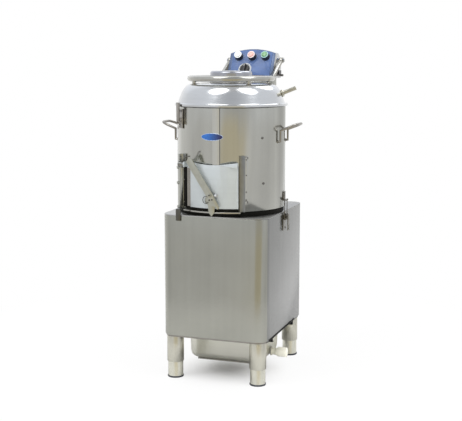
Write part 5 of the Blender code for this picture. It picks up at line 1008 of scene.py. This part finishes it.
def cabinet_details():
    """Screws, louvres and gland ribs at the back, the column's feet, a black strip along each side's bottom
    edge as painted shadow, and housing screws.
    """
    rear = Vector((0, 1, 0))
    back = 232.2 * MM
    screws = Shape()
    rows = [(x, z) for x in (-147, 0, 147) for z in (206.5, 563.5)]
    for x, z in rows + [(-147, 385), (147, 385)]:
        screws.screw(Vector((x * MM, back, z * MM)), rear, 3.6 * MM, 2.8 * MM)
    screws.done("rear_screws", screw_steel, "machine")

    louvres = Shape()
    arc = in_radians(90, 72, 54, 36, 18, 2)
    first_vent, vent_pitch = 539, 18
    hood_outer, hood_inner = 6.2 * MM, 5.2 * MM
    for index in range(5):
        top = (first_vent - vent_pitch * index) * MM + 3.5 * MM
        centre = top - 5 * MM
        outer = [(back + hood_outer * cos(a), centre + hood_outer * sin(a)) for a in arc]
        inner = [(back + hood_inner * cos(a), centre + hood_inner * sin(a)) for a in reversed(arc)]
        outline = [(-46 * MM, y, z) for y, z in outer + inner]
        louvres.prism(outline, Vector((92 * MM, 0, 0)))
        for x in (-46.6, 45.6):
            fan = [(x * MM, y, z) for y, z in outer] + [(x * MM, back - SKIN, top - 4.8 * MM)]
            louvres.prism(fan, Vector((MM, 0, 0)))
    louvres.done("vent_louvres", satin_upright, "machine", 0.1)

    ribs = Shape()
    gland = Vector((-120 * MM, 230.2 * MM, 181 * MM))
    for index in range(4):
        ribs.bead(gland + rear * (11.5 + 2.6 * index) * MM, rear, (8.6 - 0.55 * index) * MM, 0.9 * MM, 20)
    ribs.lathe(gland, rear, in_mm(
        (12.6, -SINK), (12.6, 2.2), (11.8, 3), (9.8, 3), (9.8, -SINK),
    ), 28, closed=True)
    ribs.done("gland_ribs", black_plastic, "machine", 0.1)

    flange = Shape()
    low, high = 611.1 * MM, 613.1 * MM
    front, behind = 172 * MM, 218 * MM
    for side in (-1, 1):
        inner, outer = side * 92 * MM, side * 108 * MM
        outline = [(inner, front, low), (outer, front, low), (outer, behind, low), (inner, behind, low)]
        flange.prism(outline, UP * (high - low))
    flange.done("column_feet", satin_deck, "machine", 0.5)
    bolts = Shape()
    for side in (-1, 1):
        for y in (181, 209):
            bolts.screw(Vector((side * 100 * MM, y * MM, high)), UP, 3.4 * MM, 2.8 * MM)
    bolts.done("column_screws", screw_steel, "machine")

    # Painted shadow: a thin black strip along the bottom edge of each side.
    edges = Shape()
    foot, top = 162.9 * MM, 168.4 * MM
    front, rear_end = -214 * MM, 118 * MM
    for side in (-1, 1):
        corners = ((front, foot), (rear_end, foot), (rear_end, top), (front, top))
        edges.prism([(side * 199.9 * MM, y, z) for y, z in corners], Vector((side * 0.6 * MM, 0, 0)))
    edges.done("cabinet_edge_shadow", rubber, "machine", 0.2)

    covers = Shape()
    behind_housing = 0.4
    for side in (-1, 1):
        covers.screw(Vector((side * 92 * MM, 196 * MM, 1108 * MM)), Vector((side, 0, 0)), 2.8 * MM, 2.2 * MM)
        for z in (1106, 1156):
            place = Vector((side * 76 * MM, behind_housing, z * MM))
            covers.screw(seat_on("control_housing", place, -rear), rear, 3 * MM, 2.4 * MM)
    covers.done("housing_screws", screw_steel, "machine")


def make_floor():
    """Pale floor that takes the shadow. Mirrored from afar it gives way to the room's colours."""
    mesh = bpy.data.meshes.new("floor")
    work = bmesh.new()
    bmesh.ops.create_circle(work, cap_ends=True, segments=64, radius=60)
    work.to_mesh(mesh)
    work.free()
    floor = bpy.data.objects.new("floor", mesh)
    floor.location.z = -0.0002
    scene.collection.objects.link(floor)
    made = bpy.data.materials.new("floor")
    made.use_nodes = True
    nodes = Nodes(made.node_tree)
    made.node_tree.nodes.clear()
    path = nodes.add("ShaderNodeLightPath").outputs
    place = nodes.add("ShaderNodeTexCoord").outputs["Object"]
    far = nodes.add("ShaderNodeVectorMath", {"operation": "LENGTH"})
    nodes.put(far, "0", place)
    distance = far.outputs["Value"]
    seen = nodes.math("MAXIMUM", path["Is Camera Ray"], path["Is Transmission Ray"])
    colour = nodes.mix(path["Is Glossy Ray"], rgba(0.94), rgba(0.6))
    matt = nodes.add("ShaderNodeBsdfDiffuse", Color=colour).outputs[0]
    # Painted light: in reflections the floor glows from 0.22 to 0.42 m out, and has no glow under the
    # machine as painted shadow.
    beside = nodes.math("MULTIPLY", path["Is Glossy Ray"], nodes.rise(distance, 0.22, 0.42))
    glow = nodes.add("ShaderNodeEmission", Strength=nodes.math("MULTIPLY", beside, 0.22)).outputs[0]
    both = nodes.add("ShaderNodeAddShader")
    nodes.put(both, "0", glow)
    nodes.put(both, "1", matt)
    white = nodes.add("ShaderNodeEmission", Strength=1.0).outputs[0]
    clear = nodes.add("ShaderNodeBsdfTransparent").outputs[0]
    # Painted light: seen directly the floor turns white away from a point just in front of the middle, so
    # its shadow shows only round that point.
    from_shade = nodes.add("ShaderNodeVectorMath", {"operation": "DISTANCE"})
    nodes.put(from_shade, "0", place)
    nodes.put(from_shade, "1", (0, -90 * MM, 0))
    near_white = nodes.math("MULTIPLY", nodes.rise(from_shade.outputs["Value"], 0.0, 0.27), 0.9)
    far_white = nodes.rise(distance, 0.5, 1.4)
    whiter = nodes.math("MULTIPLY", seen, nodes.math("MAXIMUM", near_white, far_white))
    clearer = nodes.math("MULTIPLY", path["Is Glossy Ray"], nodes.rise(distance, 0.45, 1.0))
    surface = nodes.blend_shaders(whiter, both.outputs[0], white)
    surface = nodes.blend_shaders(clearer, surface, clear)
    out = nodes.add("ShaderNodeOutputMaterial")
    nodes.put(out, "Surface", surface)
    mesh.materials.append(made)


def make_world():
    """White behind the machine. Metal mirrors a pale room with a warm dark part on the camera's side."""
    world = bpy.data.worlds.new("world")
    scene.world = world
    world.use_nodes = True
    nodes = Nodes(world.node_tree)
    world.node_tree.nodes.clear()
    path = nodes.add("ShaderNodeLightPath").outputs
    direction = nodes.add("ShaderNodeTexCoord").outputs["Generated"]
    parts = nodes.add("ShaderNodeSeparateXYZ", Vector=direction).outputs
    level = nodes.add("ShaderNodeCombineXYZ", X=parts[0], Y=parts[1]).outputs[0]
    unit = nodes.add("ShaderNodeVectorMath", {"operation": "NORMALIZE"})
    nodes.put(unit, "0", level)
    towards = nodes.add("ShaderNodeVectorMath", {"operation": "DOT_PRODUCT"})
    nodes.put(towards, "0", unit.outputs[0])
    nodes.put(towards, "1", tuple(towards_camera))
    around = nodes.math("MULTIPLY", nodes.math("ADD", towards.outputs["Value"], 1.0), 0.5)
    brown = (0.68, 0.62, 0.47)
    low = nodes.ramp(
        around,
        (0.0, 1.0), (0.063, 1.0), (0.134, 0.9), (0.265, 0.8), (0.57, 0.65), (0.68, 0.68), (0.82, 0.75),
        (0.877, 0.68), (0.9145, 0.8), (0.94, 0.8), (0.9585, brown), (1.0, brown),
    )
    cool = (0.97, 1.0, 1.05)
    high_stops = (
        (0.0, 1.1), (0.15, 1.0), (0.25, 0.85), (0.63, 0.83), (0.83, 0.87), (0.94, 0.65), (1.0, 0.55),
    )
    high = nodes.ramp(around, *((place, tuple(shade * c for c in cool)) for place, shade in high_stops))
    mirrored = nodes.mix(nodes.rise(parts[2], 0.0, 0.5), low, high)
    mirrored = nodes.mix(nodes.rise(parts[2], 0.8, 0.98), mirrored, rgba(0.55))
    colour = nodes.mix(path["Is Glossy Ray"], rgba(0.82), mirrored)
    seen = nodes.math("MAXIMUM", path["Is Camera Ray"], path["Is Transmission Ray"])
    colour = nodes.mix(seen, colour, rgba(1.0))
    shade = nodes.add("ShaderNodeBackground", Color=colour, Strength=1.0).outputs[0]
    out = nodes.add("ShaderNodeOutputWorld")
    nodes.put(out, "Surface", shade)


# Lamps: name, place in metres, shape, width and height in metres, watts, whether metal mirrors it
LAMPS = (
    ("key", (-2.2, -2.4, 2.6), "RECTANGLE", (2.2, 2.2), 34, False),
    ("round_left", (-0.6, -1.34, 3.2), "ELLIPSE", (1.5, 1.95), 17, True),
    ("round_right", (1.4, -0.42, 3.14), "ELLIPSE", (1.35, 1.9), 16, True),
    ("round_back", (0.9, 1.75, 3.0), "ELLIPSE", (1.45, 1.5), 12, True),
    ("low_fill", (1.9, -1.5, 0.45), "RECTANGLE", (1.0, 1.0), 14, False),
)


def make_lamps():
    aim = Vector((0, 0, 0.9))
    for name, place, shape, (width, height), power, mirrored in LAMPS:
        data = bpy.data.lights.new(name, "AREA")
        data.shape = shape
        data.size = width
        data.size_y = height
        data.energy = power
        lamp = bpy.data.objects.new(name, data)
        lamp.location = place
        lamp.visible_glossy = mirrored
        lamp.rotation_euler = (aim - Vector(place)).to_track_quat("-Z", "Y").to_euler()
        scene.collection.objects.link(lamp)


place_camera()
finish_frame()
badge()
drum_details()
jamb_details()
catch_details()
toggle_details()
latch_details()
handle_details()
smooth_lid()
lid_details()
inlet_details()
hinge_details()
panel_details()
tap_details()
drive_details()
cabinet_details()
make_floor()
make_world()
make_lamps()
